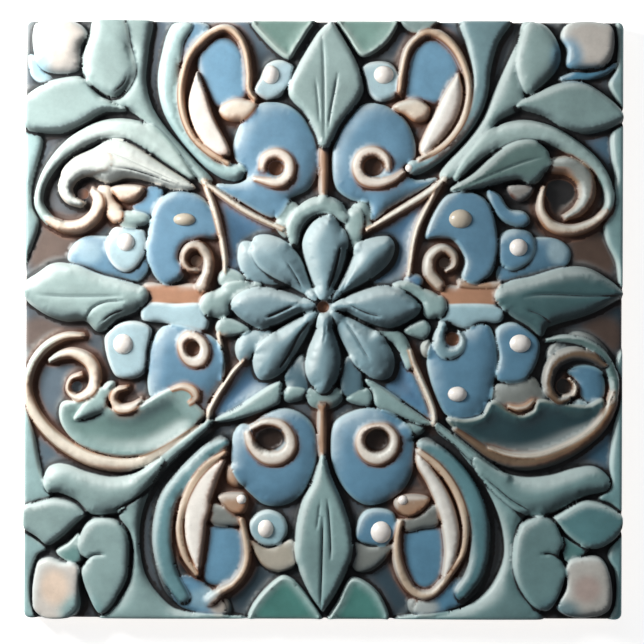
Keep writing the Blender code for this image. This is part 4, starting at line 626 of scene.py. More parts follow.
# %% Lower right: disc, crescent and loop
FORMS += [
    ("disc_se", 2.5, "pebble", "blue", [(2.8, -26.8), (6.4, -24), (12, -22.5), (17, -23.7), (20.6, -26.2),
     (22.8, -30), (22.9, -37), (20.6, -42.6), (16, -46), (11, -46.8), (6.6, -44), (3.2, -38.6),
     (2.1, -34)]),
    ("eye_se", 3.6, "band", "ring", [(13.8, -27.1, 2), (10.6, -28.2, 2.4), (9.4, -31.2, 2.6),
     (11, -34.2, 3), (14.2, -35.2, 3.2), (17.2, -33.4, 2.8), (18, -30, 2.4), (16.2, -27.4, 2),
     (13.8, -27.1, 2)]),
    ("collar_se", 2.2, "pillow", "sage", [(19.2, -27.6), (21, -26), (26, -27.2), (24, -29.6),
     (21.4, -30)]),
    ("crescent_se", 1.4, "plate", "hollow_deep", [(23.7, -31.6), (25.2, -30), (28.4, -31), (33.6, -35),
     (38.4, -41), (41.6, -48.4), (42.4, -56), (41.6, -63.4), (38.4, -70), (32, -73.6), (23.2, -74.8),
     (22.2, -71.6), (28, -69.8), (33.4, -66), (36.6, -60), (37.3, -53), (35.4, -45.6), (31, -38.8)]),
    ("crest_se", 2.9, "band", "crescent_blue", [(25.2, -31.8, 3), (28.8, -33.8, 4), (33.6, -38.4, 4.6),
     (37.6, -44.6, 5), (39.7, -51, 5), (40, -57.6, 4.8), (38.6, -64.4, 4.2), (35.2, -69.4, 3.2)]),
    ("foot_se", 1.8, "pillow", "panel", [(37, -67), (33, -66.6), (29, -69.6), (25, -72), (24.4, -74.6),
     (31, -73.6), (36, -71)]),
    ("loop_se", 3.3, "band", "loop", [(24.2, -33.2, 1.4), (28.8, -36.9, 2), (32.6, -41.6, 2),
     (35.3, -47.6, 2), (36.3, -54, 2), (34.9, -60.6, 1.8), (28.6, -68.8, 1.8), (25, -69.8, 2.2),
     (21.8, -67.6, 2.4), (19.4, -62.6, 2.4), (18.7, -57, 2), (19.6, -51, 1.6)]),
    ("panel_se", 1.2, "pillow", "panel", [(20.6, -54.6), (26, -53.4), (30.4, -53), (31.2, -58),
     (30.2, -64.6), (26, -67.7), (22.4, -65)]),
    ("tusk_se", 3.2, "pillow", "tusk", [(24, -33.6), (28.8, -39), (32.6, -45.6), (34.6, -52.4),
     (34.6, -58), (32.6, -63.4), (30.4, -66.2), (30.4, -66.2), (31.2, -58.4), (29.8, -50), (26.8, -42),
     (23.8, -36.6)]),
    ("slab_se", 2, "pillow", "grey", [(20.4, -50.6), (24, -49.9), (28.4, -46.8), (29.6, -51.6),
     (25, -52.8), (21, -53.4)]),
    ("stub_se", 2.8, "pillow", "tan", [(18.3, -46), (20, -44.9), (24, -44.6), (27, -45.6), (25, -48.6),
     (21.6, -49.9), (19, -48.4)]),
    ("cup_s_right", 2.1, "pillow", "blue", [(9, -51.6), (11, -48.8), (14.6, -48.2), (18, -49.6),
     (18.4, -54), (15.6, -57.2), (8.8, -55.8)]),
    ("chin_se", 1.8, "pillow", "grey", [(7.6, -56.4), (12, -57.8), (17.8, -57), (15.6, -61), (12, -63.8),
     (8.6, -63.8), (6.6, -61.4)]),
]
print("lower right: disc, crescent and loop:", len(FORMS), "forms so far")

# %% [markdown]
# ## Creases of the petals
# Thin cuts come last. Each has a name, a width, a depth and a line. A petal has one crease beside its
# keel, on the side away from the light.

# %% Creases of the petals
CREASES += [
    ("crease_petal_n", 0.35, 0.9, [(1.1, 7.6), (2.4, 11.4), (3.4, 15), (4.1, 18.4)]),
    ("crease_petal_ne", 0.3, 0.5, [(4.4, 7.2), (6, 10.6), (7.4, 14)]),
    ("crease_petal_e", 0.35, 0.8, [(5.6, 4.4), (8.4, 2.9), (11.4, 1.6), (14.6, 0.9)]),
    ("crease_petal_se", 0.4, 0.9, [(5.4, -0.4), (7.6, -3.4), (9.6, -6.8), (11.6, -10)]),
    ("crease_petal_s", 0.3, 0.4, [(0.4, -0.6), (0.3, -3.4), (0, -6)]),
    ("crease_petal_sw", 0.35, 0.6, [(-4, -0.8), (-6.4, -4), (-8.8, -8.6), (-11, -12)]),
    ("crease_petal_w", 0.4, 0.9, [(-6.6, 4.2), (-9.4, 2.8), (-12.4, 1.4), (-14.6, 0.6)]),
    ("crease_petal_nw", 0.3, 0.5, [(-5.4, 7.6), (-7.4, 11.4), (-9.6, 14.8)]),
]
print("creases of the petals:", len(CREASES), "cuts so far")

# %% [markdown]
# ## Veins of the leaves
# The veins are as thin as the creases and shallower at their ends. A notch is a short one that splits
# the end of a leaf.

# %% Veins of the leaves
CREASES += [
    ("vein_leaf_n", 0.35, 0.45, [(-0.6, 72), (-0.2, 62), (-0.1, 54), (0, 46)]),
    ("vein_leaf_n_right", 0.3, 0.6, [(3.3, 62.4), (2.4, 57.4), (1.5, 52.6), (1, 49)]),
    ("vein_leaf_n_left", 0.3, 0.35, [(-2.3, 61), (-1.7, 55.6), (-1.3, 50.4)]),
    ("vein_leaf_s", 0.35, 0.8, [(-0.1, -50), (-0.2, -58), (-0.4, -66), (-0.6, -73)]),
    ("vein_leaf_s_right", 0.3, 0.7, [(1.1, -45.6), (1.6, -51), (1.9, -56), (2, -60.6)]),
    ("vein_leaf_s_left", 0.3, 0.4, [(-0.8, -46), (-1.2, -49.6), (-1.6, -53)]),
    ("vein_leaf_w", 0.4, 0.5, [(-72.6, 6.2), (-66, 5.8), (-58, 5.8), (-51, 6)]),
    ("lobe_leaf_w", 0.35, 0.7, [(-60.4, 0), (-58.6, 2.8), (-55.4, 4.3), (-50.6, 4.7)]),
    ("lobe_leaf_w_low", 0.3, 0.4, [(-56.6, -0.9), (-54, 1.1), (-51, 2.4)]),
    ("vein_leaf_e", 0.4, 0.6, [(50.6, 6), (54, 6.6), (60, 6.6), (67, 6.3), (74.6, 6.4)]),
    ("lobe_leaf_e", 0.35, 0.6, [(51, 2.8), (54.6, 1.6), (57.4, -0.4)]),
    ("vein_nw_c", 0.3, 0.45, [(-57.4, 43.4), (-51, 41), (-44, 37.8), (-36.6, 34.6)]),
    ("vein_nw_c_low", 0.3, 0.4, [(-54, 38.6), (-49, 38), (-43, 36.2), (-37, 34)]),
    ("vein_ne_c", 0.3, 0.45, [(55, 41.4), (50, 40), (44, 37.6), (37, 34.6)]),
    ("notch_nw_a", 0.35, 0.25, [(-50, 63), (-51, 60), (-53.6, 57.6)]),
    ("vein_se_c", 0.4, 0.9, [(40.4, -39.4), (44, -42.4), (47.6, -45.4), (52, -48)]),
    ("notch_se_a", 0.4, 0.8, [(55.2, -59.2), (58, -59.2), (60.8, -60.8)]),
    ("vein_sw_c", 0.35, 0.6, [(-42.6, -41.4), (-47, -45.2), (-52.4, -48.4)]),
    ("notch_sw_a", 0.4, 0.8, [(-61, -62), (-58.4, -59.9), (-55.4, -59.6)]),
]
print("veins of the leaves:", len(CREASES), "cuts so far")

# %% [markdown]
# ## Wells
# In the middle of each ring and curl the tool was turned once, which leaves a round well. Its floor is
# brown oxide, darkened towards black as painted shade of the hole. A well has a name, a centre, half
# widths, the level of its floor, and how dark its floor is painted, from 0 to 1.

# %% Wells
WELLS = [
    ("well_rosette", (-0.2, 3.3), (1.7, 1.6), 1.6, 0.5),
    ("well_eye_nw", (-12.3, 38.6), (2.2, 2.1), 0.6, 0.6),
    ("well_eye_ne", (12.6, 39), (2.9, 2.6), 0.6, 0.85),
    ("well_eye_sw", (-13.6, -30.4), (4, 3.2), 0.2, 1),
    ("well_eye_se", (13.7, -30.6), (3.4, 3.2), 0.2, 1),
    ("well_scroll_nw", (-32.6, 15), (1.5, 1.4), 0.8, 0.4),
    ("well_scroll_ne", (30.8, 14.8), (1.5, 1.3), 0.8, 0.8),
    ("well_scroll_sw", (-33.3, -7.4), (2, 2.2), 0.6, 0.7),
    ("well_scroll_se", (32.8, -4.8), (1.9, 1.9), 0.6, 0.5),
    ("well_curl_nw", (-61.6, 32), (1.5, 1.4), 0.8, 0.45),
    ("well_curl_ne", (60.2, 33), (4.2, 3.1), 0.2, 1),
    ("well_curl_sw", (-63, -17.2), (1.4, 1.4), 0.8, 0.45),
    ("well_curl_se", (61.4, -16.8), (2.2, 2), 0.4, 0.8),
]
print(len(WELLS), "wells")

# %% [markdown]
# ## Smooth outlines from few points
# Each form is drawn with the few points that a carver would set out with dividers. A smooth curve has
# to run through them. Blender's own Bezier curves could do that, but the height needs thousands of
# distances to each outline, so a short Hermite curve in plain arrays is quicker. A point given twice
# has no direction across it, and that makes a sharp corner by itself.

# %% Smooth outlines
SAMPLE = 0.5


def smooth_line(points, closed):
    """Points about SAMPLE apart on a smooth curve through the given ones; widths go along."""
    given = np.array(points, dtype=float)
    count = len(given)
    following = np.roll(given, -1, axis=0)
    chord = np.linalg.norm((following - given)[:, :2], axis=1)
    slope = np.zeros_like(given)
    for i in range(count):
        before = i - 1 if closed or i > 0 else i
        after = (i + 1) % count if closed or i < count - 1 else i
        span = (chord[before] if before != i else 0) + (chord[i] if after != i else 0)
        slope[i] = (given[after] - given[before]) / max(span, 1e-9)
    pieces = []
    for i in range(count if closed else count - 1):
        if chord[i] < 1e-9:
            continue
        steps = max(2, round(chord[i] / SAMPLE))
        t = (np.arange(steps) / steps)[:, None]
        start, end = given[i], given[(i + 1) % count]
        lead, tail = slope[i] * chord[i], slope[(i + 1) % count] * chord[i]
        pieces.append((2 * t**3 - 3 * t**2 + 1) * start + (t**3 - 2 * t**2 + t) * lead
                      + (3 * t**2 - 2 * t**3) * end + (t**3 - t**2) * tail)
    if not closed:
        pieces.append(given[-1:])
    return np.concatenate(pieces)


def normals_of(line, closed):
    """The unit normals of a line, to the left of its direction."""
    if closed:
        along = np.roll(line, -1, axis=0) - np.roll(line, 1, axis=0)
    else:
        along = np.gradient(line, axis=0)
    along = along[:, :2] / np.maximum(np.linalg.norm(along[:, :2], axis=1, keepdims=True), 1e-9)
    return np.stack([-along[:, 1], along[:, 0]], axis=1)


print("points on a 10 mm run:", len(smooth_line([(0, 0), (10, 0)], closed=False)))

# %% [markdown]
# ## The forms as smooth lines
# Every form of the drawing is turned into a dense line once, and all the later steps work on those
# lines. The lowest form comes first, because that is the order in which they are pressed. An outline
# runs anticlockwise, so that its inside is always to the left.

# %% Forms as lines
SWELL = 0.15            # wet clay fills the mould a little beyond the drawn line
PANEL_SWELL = 0.9       # the low blue panels run under the loops around them
FORM_BY_NAME = {}
for name, height, section, glaze, points in sorted(FORMS, key=lambda form: form[1]):
    is_band = section == "band"
    ring = is_band and points[0] == points[-1]
    line = smooth_line(points[:-1] if ring else points, closed=ring or not is_band)
    if not is_band:
        turning = np.sum(line[:, 0] * np.roll(line[:, 1], -1) - line[:, 1] * np.roll(line[:, 0], -1))
        line = line if turning > 0 else line[::-1]
        line = line - normals_of(line, True) * (PANEL_SWELL if glaze == "panel" else SWELL)
    FORM_BY_NAME[name] = {"height": height, "section": section, "glaze": glaze, "line": line,
                          "closed": ring or not is_band}
outline_points = sum(len(form["line"]) for form in FORM_BY_NAME.values())
print(len(FORM_BY_NAME), "forms,", outline_points, "outline points")

# %% [markdown]
# ## How far a place is from an outline
# The height of a form depends on one number: how deep inside its outline a place lies, or how far
# outside. For a band it is how far the place is from the centre line, against the band's own half width
# there.

# %% Distances
FAR = 99.0              # mm, for a place that no form has reached
TINY = 1e-9             # keeps a division from ending in zero


def to_line(places, line, closed):
    """Distance from each place to a line, the share of the nearest stretch, and that stretch's number."""
    start = line if closed else line[:-1]
    end = np.roll(line, -1, axis=0) if closed else line[1:]
    run = end[:, :2] - start[:, :2]
    square = np.maximum((run**2).sum(axis=1), TINY**2)
    gap = places[:, None, :] - start[None, :, :2]
    share = np.clip((gap * run).sum(axis=2) / square, 0, 1)
    distance = np.hypot(gap[..., 0] - share * run[:, 0], gap[..., 1] - share * run[:, 1])
    nearest = distance.argmin(axis=1)
    rows = np.arange(len(places))
    return distance[rows, nearest], share[rows, nearest], nearest


print("a place 2 mm off:", to_line(np.array([[5.0, 2.0]]), np.array([[0.0, 0], [10, 0]]), False)[0])

# %% Inside or outside
def is_inside(places, line):
    """True where a ray to the right crosses the closed line an odd number of times."""
    start, end = line[:, :2], np.roll(line[:, :2], -1, axis=0)
    x, y = places[:, :1], places[:, 1:2]
    crosses = (start[:, 1] > y) != (end[:, 1] > y)
    rise = np.where(end[:, 1] == start[:, 1], TINY, end[:, 1] - start[:, 1])
    at = start[:, 0] + (y - start[:, 1]) / rise * (end[:, 0] - start[:, 0])
    return (crosses & (x < at)).sum(axis=1) % 2 == 1


print("the middle is inside petal_n:", is_inside(np.array([[0.0, 15.0]]), FORM_BY_NAME["petal_n"]["line"]))

# %% [markdown]
# ## How deep a place lies in a form
# A band counts from its centre line and its width there. Every other form counts from its outline, and
# also needs a half width, over which its section rounds off. That is measured once, on the outlines
# that cross the form. A form that nothing crosses is rounded near its rim only and keeps a flat crown,
# as the plain leaves and the buds do.

# %% Depth in a form
THINNEST = 0.6          # the half width of a form that no other outline crosses


def depth_inside(form, places):
    """For each place: how deep it lies inside the form, in mm, and the form's local half width."""
    line = form["line"]
    distance, share, nearest = to_line(places, line, form["closed"])
    if form["section"] == "band":
        widths = line[:, 2]
        after = np.roll(widths, -1)
        half = (widths[nearest] * (1 - share) + after[nearest] * share) / 2
        return half - distance, half
    depth = np.where(is_inside(places, line), distance, -distance)
    if "half" not in form:
        form["half"] = max(depth.max(), THINNEST)
    return depth, np.full(len(places), form["half"])


petal = FORM_BY_NAME["petal_n"]
print("least half width:", THINNEST, "mm, petal_n has", len(petal["line"]), "outline points")

# %% [markdown]
# ## Sections
# A carver knows a few cuts only: a pillow, a leaf with a soft crown, a tube, a dish with a raised lip,
# a flat plate. Each is a function of the depth inside the outline. All of them share a flank that falls
# steeply to the ground, because clay has to leave the mould.

# %% Sections
SHOULDER = 0.36         # share of a form's height that its steep flank takes


def quarter_round(t, fullness=0.45):
    """0 at t = 0 and 1 at t = 1: a quarter circle at fullness 1, a softer parabola at fullness 0."""
    t = np.clip(t, 0, 1)
    bulge = 1 - (1 - t) ** 2
    return fullness * np.sqrt(bulge) + (1 - fullness) * bulge


def soft_step(t):
    """0 at t = 0 and 1 at t = 1, level at both ends."""
    t = np.clip(t, 0, 1)
    return t * t * (3 - 2 * t)


# Section: reach of the rounding as a share of the half width, its largest reach in mm,
# share of the height in the crown
ROUNDED = {
    "pillow": (1.0, 5.0, 0.15),
    "petal": (1.0, 9.0, 0.0),
    "leaf": (1.0, 6.0, 0.1),
    "pebble": (0.9, 3.6, 0.1),
    "plate": (0.6, 0.8, 0.0),
}
# Section: share of a straight slope, which leaves a keel along the middle
KEELED = {"petal": 0.45, "leaf": 0.25}
# Section: width of the lip, and how far the floor lies below it, in mm
LIPPED = {
    "dish": (0.8, 1.1),
    "boat": (0.7, 1.5),
}
print("sections:", ", ".join(["band", *ROUNDED, *LIPPED]))

# %% [markdown]
# ## The height that a section gives
# Outside the outline the flank falls to what lies below within the width of the wall. Inside it the
# surface first rises over its shoulder and then follows the section's own curve.

# %% Height of a section
FULL_BAND = 1.1         # half width from which a band stands at its full height
BAND_OVER = 0.3         # a band rises at least this far over what it crosses
BAND_FULLNESS = 0.8
FLOOR_SHARE = 0.7       # share of the half width over which a floor sinks from its lip


def section_height(form, depth, half, under):
    """Height over the ground of one form, from the depth inside it and what lies under it."""
    level = form["height"]
    section = form["section"]
    if section == "band":
        level = level * (0.6 + 0.4 * np.clip(half / FULL_BAND, 0, 1))
        level = np.maximum(level, under + BAND_OVER)
        rise = SHOULDER + (1 - SHOULDER) * quarter_round(depth / np.maximum(half, 0.2), BAND_FULLNESS)
    elif section in LIPPED:
        lip, sunk = LIPPED[section]
        reach = np.maximum(half * FLOOR_SHARE, 0.8)
        rise = SHOULDER + (1 - SHOULDER) * quarter_round(depth / lip)
        rise = rise - sunk / level * soft_step((depth - lip * 0.7) / reach)
    else:
        share, reach, crown = ROUNDED[section]
        reach = np.minimum(half * share, reach)
        rise = SHOULDER + (1 - SHOULDER - crown) * quarter_round(depth / reach)
        rise = rise + crown * np.sin(np.clip(depth / half, 0, 1) * math.pi / 2)
        if section in KEELED:
            keel = KEELED[section]
            rise = rise * (1 - keel) + keel * (SHOULDER + (1 - SHOULDER) * np.clip(depth / half, 0, 1))
    level = np.maximum(level, under)
    flank = SHOULDER * (1 + depth / WALL)
    return under + (level - under) * np.where(depth >= 0, rise, flank)


crown = section_height(petal, np.array([5.0]), np.array([5.0]), np.array([0.0]))
print("crown of a petal:", round(float(crown[0]), 2), "mm over the ground")

# %% [markdown]
# ## Places where the skin has a point
# An even grid would need millions of points before its edges looked crisp. The points are set where the
# shape turns instead: in rows beside each outline, at its foot, its rim and over its shoulder, and in a
# coarse grid on what is left. An outline that lies under a higher form gets no rows.

# %% Rows beside the outlines
ROWS = (0.03, -WALL - 0.03, 0.4, 0.95, 1.8)       # mm inside the outline; the second one is its foot
BAND_ROWS = (0.0, 0.6)                            # in half widths from the middle of a band


def nearby(form, places, reach):
    """The numbers of the places in the form's box, widened by reach."""
    line = form["line"]
    wide = reach + (line[:, 2].max() / 2 if form["section"] == "band" else 0)
    low, high = line[:, :2].min(axis=0) - wide, line[:, :2].max(axis=0) + wide
    return np.nonzero(((places > low) & (places < high)).all(axis=1))[0]


def rim_of(form, offset):
    """Points at an offset inside the outline, or inside both sides of a band."""
    line, normal = form["line"], normals_of(form["line"], form["closed"])
    if form["section"] != "band":
        return line[:, :2] + normal * offset
    half = line[:, 2:3] / 2 - offset
    return np.concatenate([line[:, :2] + normal * half, line[:, :2] - normal * half])


print("rim of petal_n:", len(rim_of(petal, ROWS[0])), "points")

# %% [markdown]
# ## Which form shows
# Where forms overlap only the highest is seen. Rows of points are kept along the parts of an outline
# that show, and the hidden parts get none, which keeps the skin light.

# %% Rows of points
def top_form(places):
    """For each place, the number of the form that shows there: the highest one that covers it."""
    shown = np.full(len(places), -1)
    for number, form in enumerate(FORM_BY_NAME.values()):
        at = nearby(form, places, 0)
        if len(at):
            depth, _ = depth_inside(form, places[at])
            shown[at[depth > 0]] = number
    return shown


CUT_ROWS = (0, -1, 1, -2.2, 2.2)           # in widths of the crease, to either side
WELL_ROWS = (0.45, 0.8, 1.0, 1.2)          # in radii of the well
WELL_POINTS = 24


def cut_rows():
    """Rows of points along the creases and around the wells."""
    rows = []
    for _, width, _, points in CREASES:
        line = smooth_line(points, closed=False)
        rows += [line + normals_of(line, False) * width * share for share in CUT_ROWS]
    turn = np.linspace(0, 2 * math.pi, WELL_POINTS, endpoint=False)
    circle = np.stack([np.cos(turn), np.sin(turn)], axis=1)
    for _, centre, half_widths, _, _ in WELLS:
        rows += [circle * half_widths * share + centre for share in WELL_ROWS]
    return rows


print("rows along the cuts:", len(cut_rows()))

# %% Rows beside the outlines that show
def outline_rows():
    """Rows of points beside every outline that shows, the most important rows first."""
    rims = [rim_of(form, ROWS[0]) for form in FORM_BY_NAME.values()]
    shown = top_form(np.concatenate(rims))
    rows = {"cuts": cut_rows()}
    start = 0
    for number, (form, rim) in enumerate(zip(FORM_BY_NAME.values(), rims)):
        seen = shown[start:start + len(rim)] == number
        start += len(rim)
        seen = seen | np.roll(seen, 1) | np.roll(seen, -1)
        for offset in ROWS:
            if form["section"] == "band" and offset > ROWS[0]:
                continue
            rows.setdefault(offset, []).append(rim_of(form, offset)[seen])
        if form["section"] == "band":
            line = form["line"]
            normal = normals_of(line, form["closed"])
            middle_seen = seen[:len(line)] | seen[len(line):]
            for share in BAND_ROWS:
                for side in (-1, 1):
                    offset = normal * line[:, 2:3] / 2 * share * side
                    rows.setdefault("middle", []).append((line[:, :2] + offset)[middle_seen])
    order = ["cuts", *ROWS[:2], "middle", *ROWS[2:]]
    return np.concatenate([np.concatenate(rows[offset]) for offset in order])


rows = outline_rows()
print("rows before thinning:", len(rows), "points")

# %% [markdown]
# ## Edge of the tile
# The tile is a square with slightly rounded corners. Rings of points follow its side, and a coarse grid
# fills what the rows leave open. Points closer than a third of a millimetre are thinned to one.

# %% Edge, grid and thinning
EDGE_SPACING = 0.6


def thinned(points, cell):
    """The first point in each cell of a fine grid, in the order given."""
    key = np.floor(points / cell).astype(np.int64)
    first = np.unique(key, axis=0, return_index=True)[1]
    return points[np.sort(first)]


def edge_distance(points):
    """How far each point lies inside the tile's rounded square."""
    inner = SIDE / 2 - CORNER_RADIUS
    over = np.abs(points) - inner
    outside = np.hypot(np.maximum(over[:, 0], 0), np.maximum(over[:, 1], 0))
    inside = np.minimum(np.maximum(over[:, 0], over[:, 1]), 0)
    return CORNER_RADIUS - outside - inside


def square_ring(inset):
    """Points around the rounded square, anticlockwise, at an inset from the tile's side."""
    inner = SIDE / 2 - CORNER_RADIUS
    radius = CORNER_RADIUS - inset
    ring = []
    steps = max(3, round(math.pi / 2 * max(radius, 0.3) / EDGE_SPACING))
    runs = round(2 * inner / EDGE_SPACING)
    for quarter in range(4):
        cosine, sine = math.cos(quarter * math.pi / 2), math.sin(quarter * math.pi / 2)
        turn = np.array([[cosine, -sine], [sine, cosine]])
        along = np.linspace(-inner, inner, runs + 1)
        side = np.stack([np.full(runs + 1, inner + radius), along], axis=1)
        angle = np.linspace(0, math.pi / 2, steps + 1)[1:-1]
        corner = np.stack([inner + radius * np.cos(angle), inner + radius * np.sin(angle)], axis=1)
        ring.append(np.concatenate([side, corner]) @ turn.T)
    return np.concatenate(ring)


print("points around the side:", len(square_ring(0)))

# %% All the places
EDGE_ROWS = (0.22, 0.5, 0.9)     # mm in from the side, where the edge rolls over
GRID = 0.8
THIN = 0.3
border = square_ring(0)
steps = np.arange(-SIDE / 2, SIDE / 2, GRID)
grid_x, grid_y = np.meshgrid(steps, steps)
grid_x = grid_x + np.where(np.arange(len(steps)) % 2, GRID / 2, 0)[:, None]
grid = np.stack([grid_x.ravel(), grid_y.ravel()], axis=1)
rows = rows[edge_distance(rows) > 0.4]
edges = np.concatenate([square_ring(inset) for inset in EDGE_ROWS])
fine = thinned(np.concatenate([edges, rows]), THIN)
spare = GRID * 0.8               # a cell of this size needs no grid point once it has a row point
taken = set(map(tuple, np.floor(fine / spare).astype(int)))
is_free = [tuple(cell) not in taken for cell in np.floor(grid / spare).astype(int)]
free = np.array(is_free) & (edge_distance(grid) > 1.0)
places = np.concatenate([border, fine, grid[free]])
print(len(border), "border points,", len(fine), "row points,", free.sum(), "grid points")

# %% [markdown]
# ## Pressing the face
# The forms are pressed in order of height, the lowest first. Each digs a narrow moat around its foot
# and then stands in it. At the same time each place learns which glaze covers it, how near a rim it is,
# and how dark it is marked: the oxide that the brush leaves in the moat, and painted shade that fades
# out around each form's foot.

# %% How the brush and the painted shade work
HALO = 2.2              # reach of the faint wash and painted shade around a form
FULL_WASH = 2.4         # a form this high keeps a full moat and a full wash around it
FAINT = {"rib": 0.5, "loop": 0.6, "tan": 0.7, "blue": 0.75, "scroll": 0.8}      # share of the full wash
POOL_EDGE = 0.7         # a dip's glaze begins this far inside its rim
WARM_REACH = 2.0        # how far a cream form keeps the wash around it brown
WARM_GLAZES = ("cream", "tusk", "loop", "rope", "ring", "scroll", "rib", "tan", "peach", "shade")
print("wash up to", HALO, "mm from a form, brown up to", WARM_REACH, "mm from a cream one")

# %% What each place knows
NAMES = list(FORM_BY_NAME)
height = np.zeros(len(places))
rim_gap = np.full(len(places), FAR)        # distance inside the form that shows, from its rim
pool = np.zeros(len(places))               # how far a place lies under its form's own lip
oxide_and_shade = np.zeros(len(places))
form_at = np.full(len(places), -1)
warmth = np.full(len(places), 0.3)         # 1 where the wash is brown, 0 where it is blue-black
print(len(places), "places on the face")

# %% Press the forms
for number, form in enumerate(FORM_BY_NAME.values()):
    at = nearby(form, places, HALO)
    depth, half = depth_inside(form, places[at])
    moat = np.where(depth < 0, np.clip(1 + depth / MOAT, 0, 1), 0)
    halo = np.clip(1 + depth / HALO, 0, 1)
    parents = [k for k, other in enumerate(NAMES[:number]) if NAMES[number].startswith(other)]
    grown = np.isin(form_at[at], parents)         # a part grows out of its own form without a moat
    moat[grown] = 0
    halo[grown] = 0
    deep = min(1.0, form["height"] / FULL_WASH) * FAINT.get(form["glaze"], 1.0)
    height[at] -= MOAT_DEPTH * deep * moat**1.5
    # The mark left around a form: oxide in its moat, and painted shade that fades out over the halo.
    left = np.clip(deep * (0.6 * moat + 0.62 * halo**1.7), 0, 1)
    oxide_and_shade[at] = 1 - (1 - oxide_and_shade[at]) * (1 - left)
    raised = section_height(form, depth, half, height[at])
    wins = depth > -WALL
    covers = depth > 0
    inside = at[covers]
    height[at[wins]] = raised[wins]
    form_at[inside] = number
    rim_gap[inside] = depth[covers]
    pool[inside] = 0
    if form["section"] in LIPPED:
        _, sunk = LIPPED[form["section"]]
        pool[inside] = np.clip((form["height"] - raised[covers]) / sunk, 0, 1) * (depth[covers] > POOL_EDGE)
    oxide_and_shade[inside] = 0
    warm = 1.0 if form["glaze"] in WARM_GLAZES else 0.0
    near = np.clip(1 + depth / WARM_REACH, 0, 1) ** 0.7
    warmth[at] += (warm - warmth[at]) * near
print("highest place", round(height.max(), 2), "mm over the ground, deepest", round(height.min(), 2))

# %% [markdown]
# ## Joining the places, and the carver's thumb
# The places are joined by a Delaunay triangulation, which keeps its triangles as even as the points
# allow. With the triangles known, each place can be averaged with its neighbours a few times. That
# takes the small lumps off the tops, as a wet thumb does, and leaves the rims and feet crisp.

# %% Join
def joined(points):
    """Triangles over the rounded square, whose border is the first points, in order."""
    loop = list(range(len(border)))
    result = delaunay_2d_cdt([Vector(p) for p in points.tolist()], [], [loop], 1, 1e-5, True)
    coords, triangles, origins = result[0], result[2], result[3]
    source = np.array([ids[0] if ids else -1 for ids in origins])
    return np.array([tuple(c) for c in coords]), np.array(triangles), source


flat, triangles, source = joined(places)
print(len(flat), "points,", len(triangles), "triangles,", int((source < 0).sum()), "added")

# %% Soften
CRISP = 0.8             # mm from a rim that the thumb leaves alone
STROKES = 8
PRESSURE = 0.7
one, two, three = source[triangles].T
first = np.concatenate([one, two, three, two, three, one])
second = np.concatenate([two, three, one, one, two, three])
apart = np.maximum(np.hypot(*(places[first] - places[second]).T), 0.05)
pull = ((form_at[first] == form_at[second]) & (rim_gap[second] > 0.3)) / apart
pulls = np.maximum(np.bincount(first, weights=pull, minlength=len(places)), 1e-6)
softness = np.where(form_at >= 0, np.clip((rim_gap - CRISP) / 1.2, 0, 1), 0)
before = height.copy()
for _ in range(STROKES):
    around = np.bincount(first, weights=pull * height[second], minlength=len(places)) / pulls
    height += (around - height) * softness * PRESSURE
print("the thumb moved up to", round(float(np.abs(height - before).max()), 2), "mm")

# %% [markdown]
# ## Veins, creases and wells
# The carver's last cuts are thin ones: the veins of the leaves, the creases of the petals, and the
# round wells in the middle of the curls. They are taken from the finished height, and the brush leaves
# oxide in them too, with painted shade darkening the creases.

# %% Cut the creases
for _, width, deep, points in CREASES:
    line = smooth_line(points, closed=False)
    at = nearby({"line": line, "section": "crease"}, places, 3 * width)
    distance, _, stretch = to_line(places[at], line, False)
    along = stretch / max(len(line) - 2, 1)
    fade = np.clip(4 * np.minimum(along, 1 - along) + 0.35, 0, 1)
    cut = np.exp(-((distance / width) ** 2)) * fade
    height[at] -= deep * cut
    left = np.clip(deep * 1.5, 0, 0.95) * np.exp(-((distance / width * 1.3) ** 2)) * fade
    oxide_and_shade[at] = np.maximum(oxide_and_shade[at], left)
print(len(CREASES), "creases cut to", round(height.min(), 2), "mm")

# %% Turn the wells
WELL_SIDE = 0.35        # width of a well's side, in radii
well = np.zeros(len(places))
well_tone = np.zeros(len(places))
for _, centre, half_widths, floor_level, tone in WELLS:
    ratio = np.hypot(*((places - centre) / half_widths).T)
    at = ratio < 1.5
    sides = soft_step((ratio[at] - 0.75) / WELL_SIDE)
    height[at] = np.minimum(height[at], floor_level + (height[at] - floor_level) * sides)
    inner = 1 - soft_step((ratio[at] - 0.8) / WELL_SIDE)
    well[at] = np.maximum(well[at], inner)
    warmth[at] = np.maximum(warmth[at], inner)
    well_tone[at] = np.where(inner > 0.02, tone, well_tone[at])
    oxide_and_shade[at] = oxide_and_shade[at] * (1 - inner)
print(len(WELLS), "wells turned,", int((well > 0.5).sum()), "places in them")

# %% [markdown]
# ## Where the oxide and the shade stay
# Oxide settles, and painted shade is laid, wherever a place lies lower than what is around it. Comparing
# the height with its own blurred copy gives that at once, on a raster, without asking each place for its
# neighbours.

# %% Hollows
CELL = 0.4


def blurred(field, reach):
    """The field averaged three times over a square of the given reach in mm: a soft blur."""
    width = max(1, round(reach / CELL))
    for _ in range(3):
        for axis in (0, 1):
            padded = np.concatenate([np.take(field, [0] * (width + 1), axis), field,
                                     np.take(field, [-1] * width, axis)], axis)
            total = np.cumsum(padded, axis)
            size = field.shape[axis]
            upper = np.take(total, np.arange(2 * width + 1, 2 * width + 1 + size), axis)
            field = (upper - np.take(total, np.arange(size), axis)) / (2 * width + 1)
    return field


print("a blurred flat field stays flat:", bool(np.allclose(blurred(np.ones((9, 9)), 1.0), 1)))

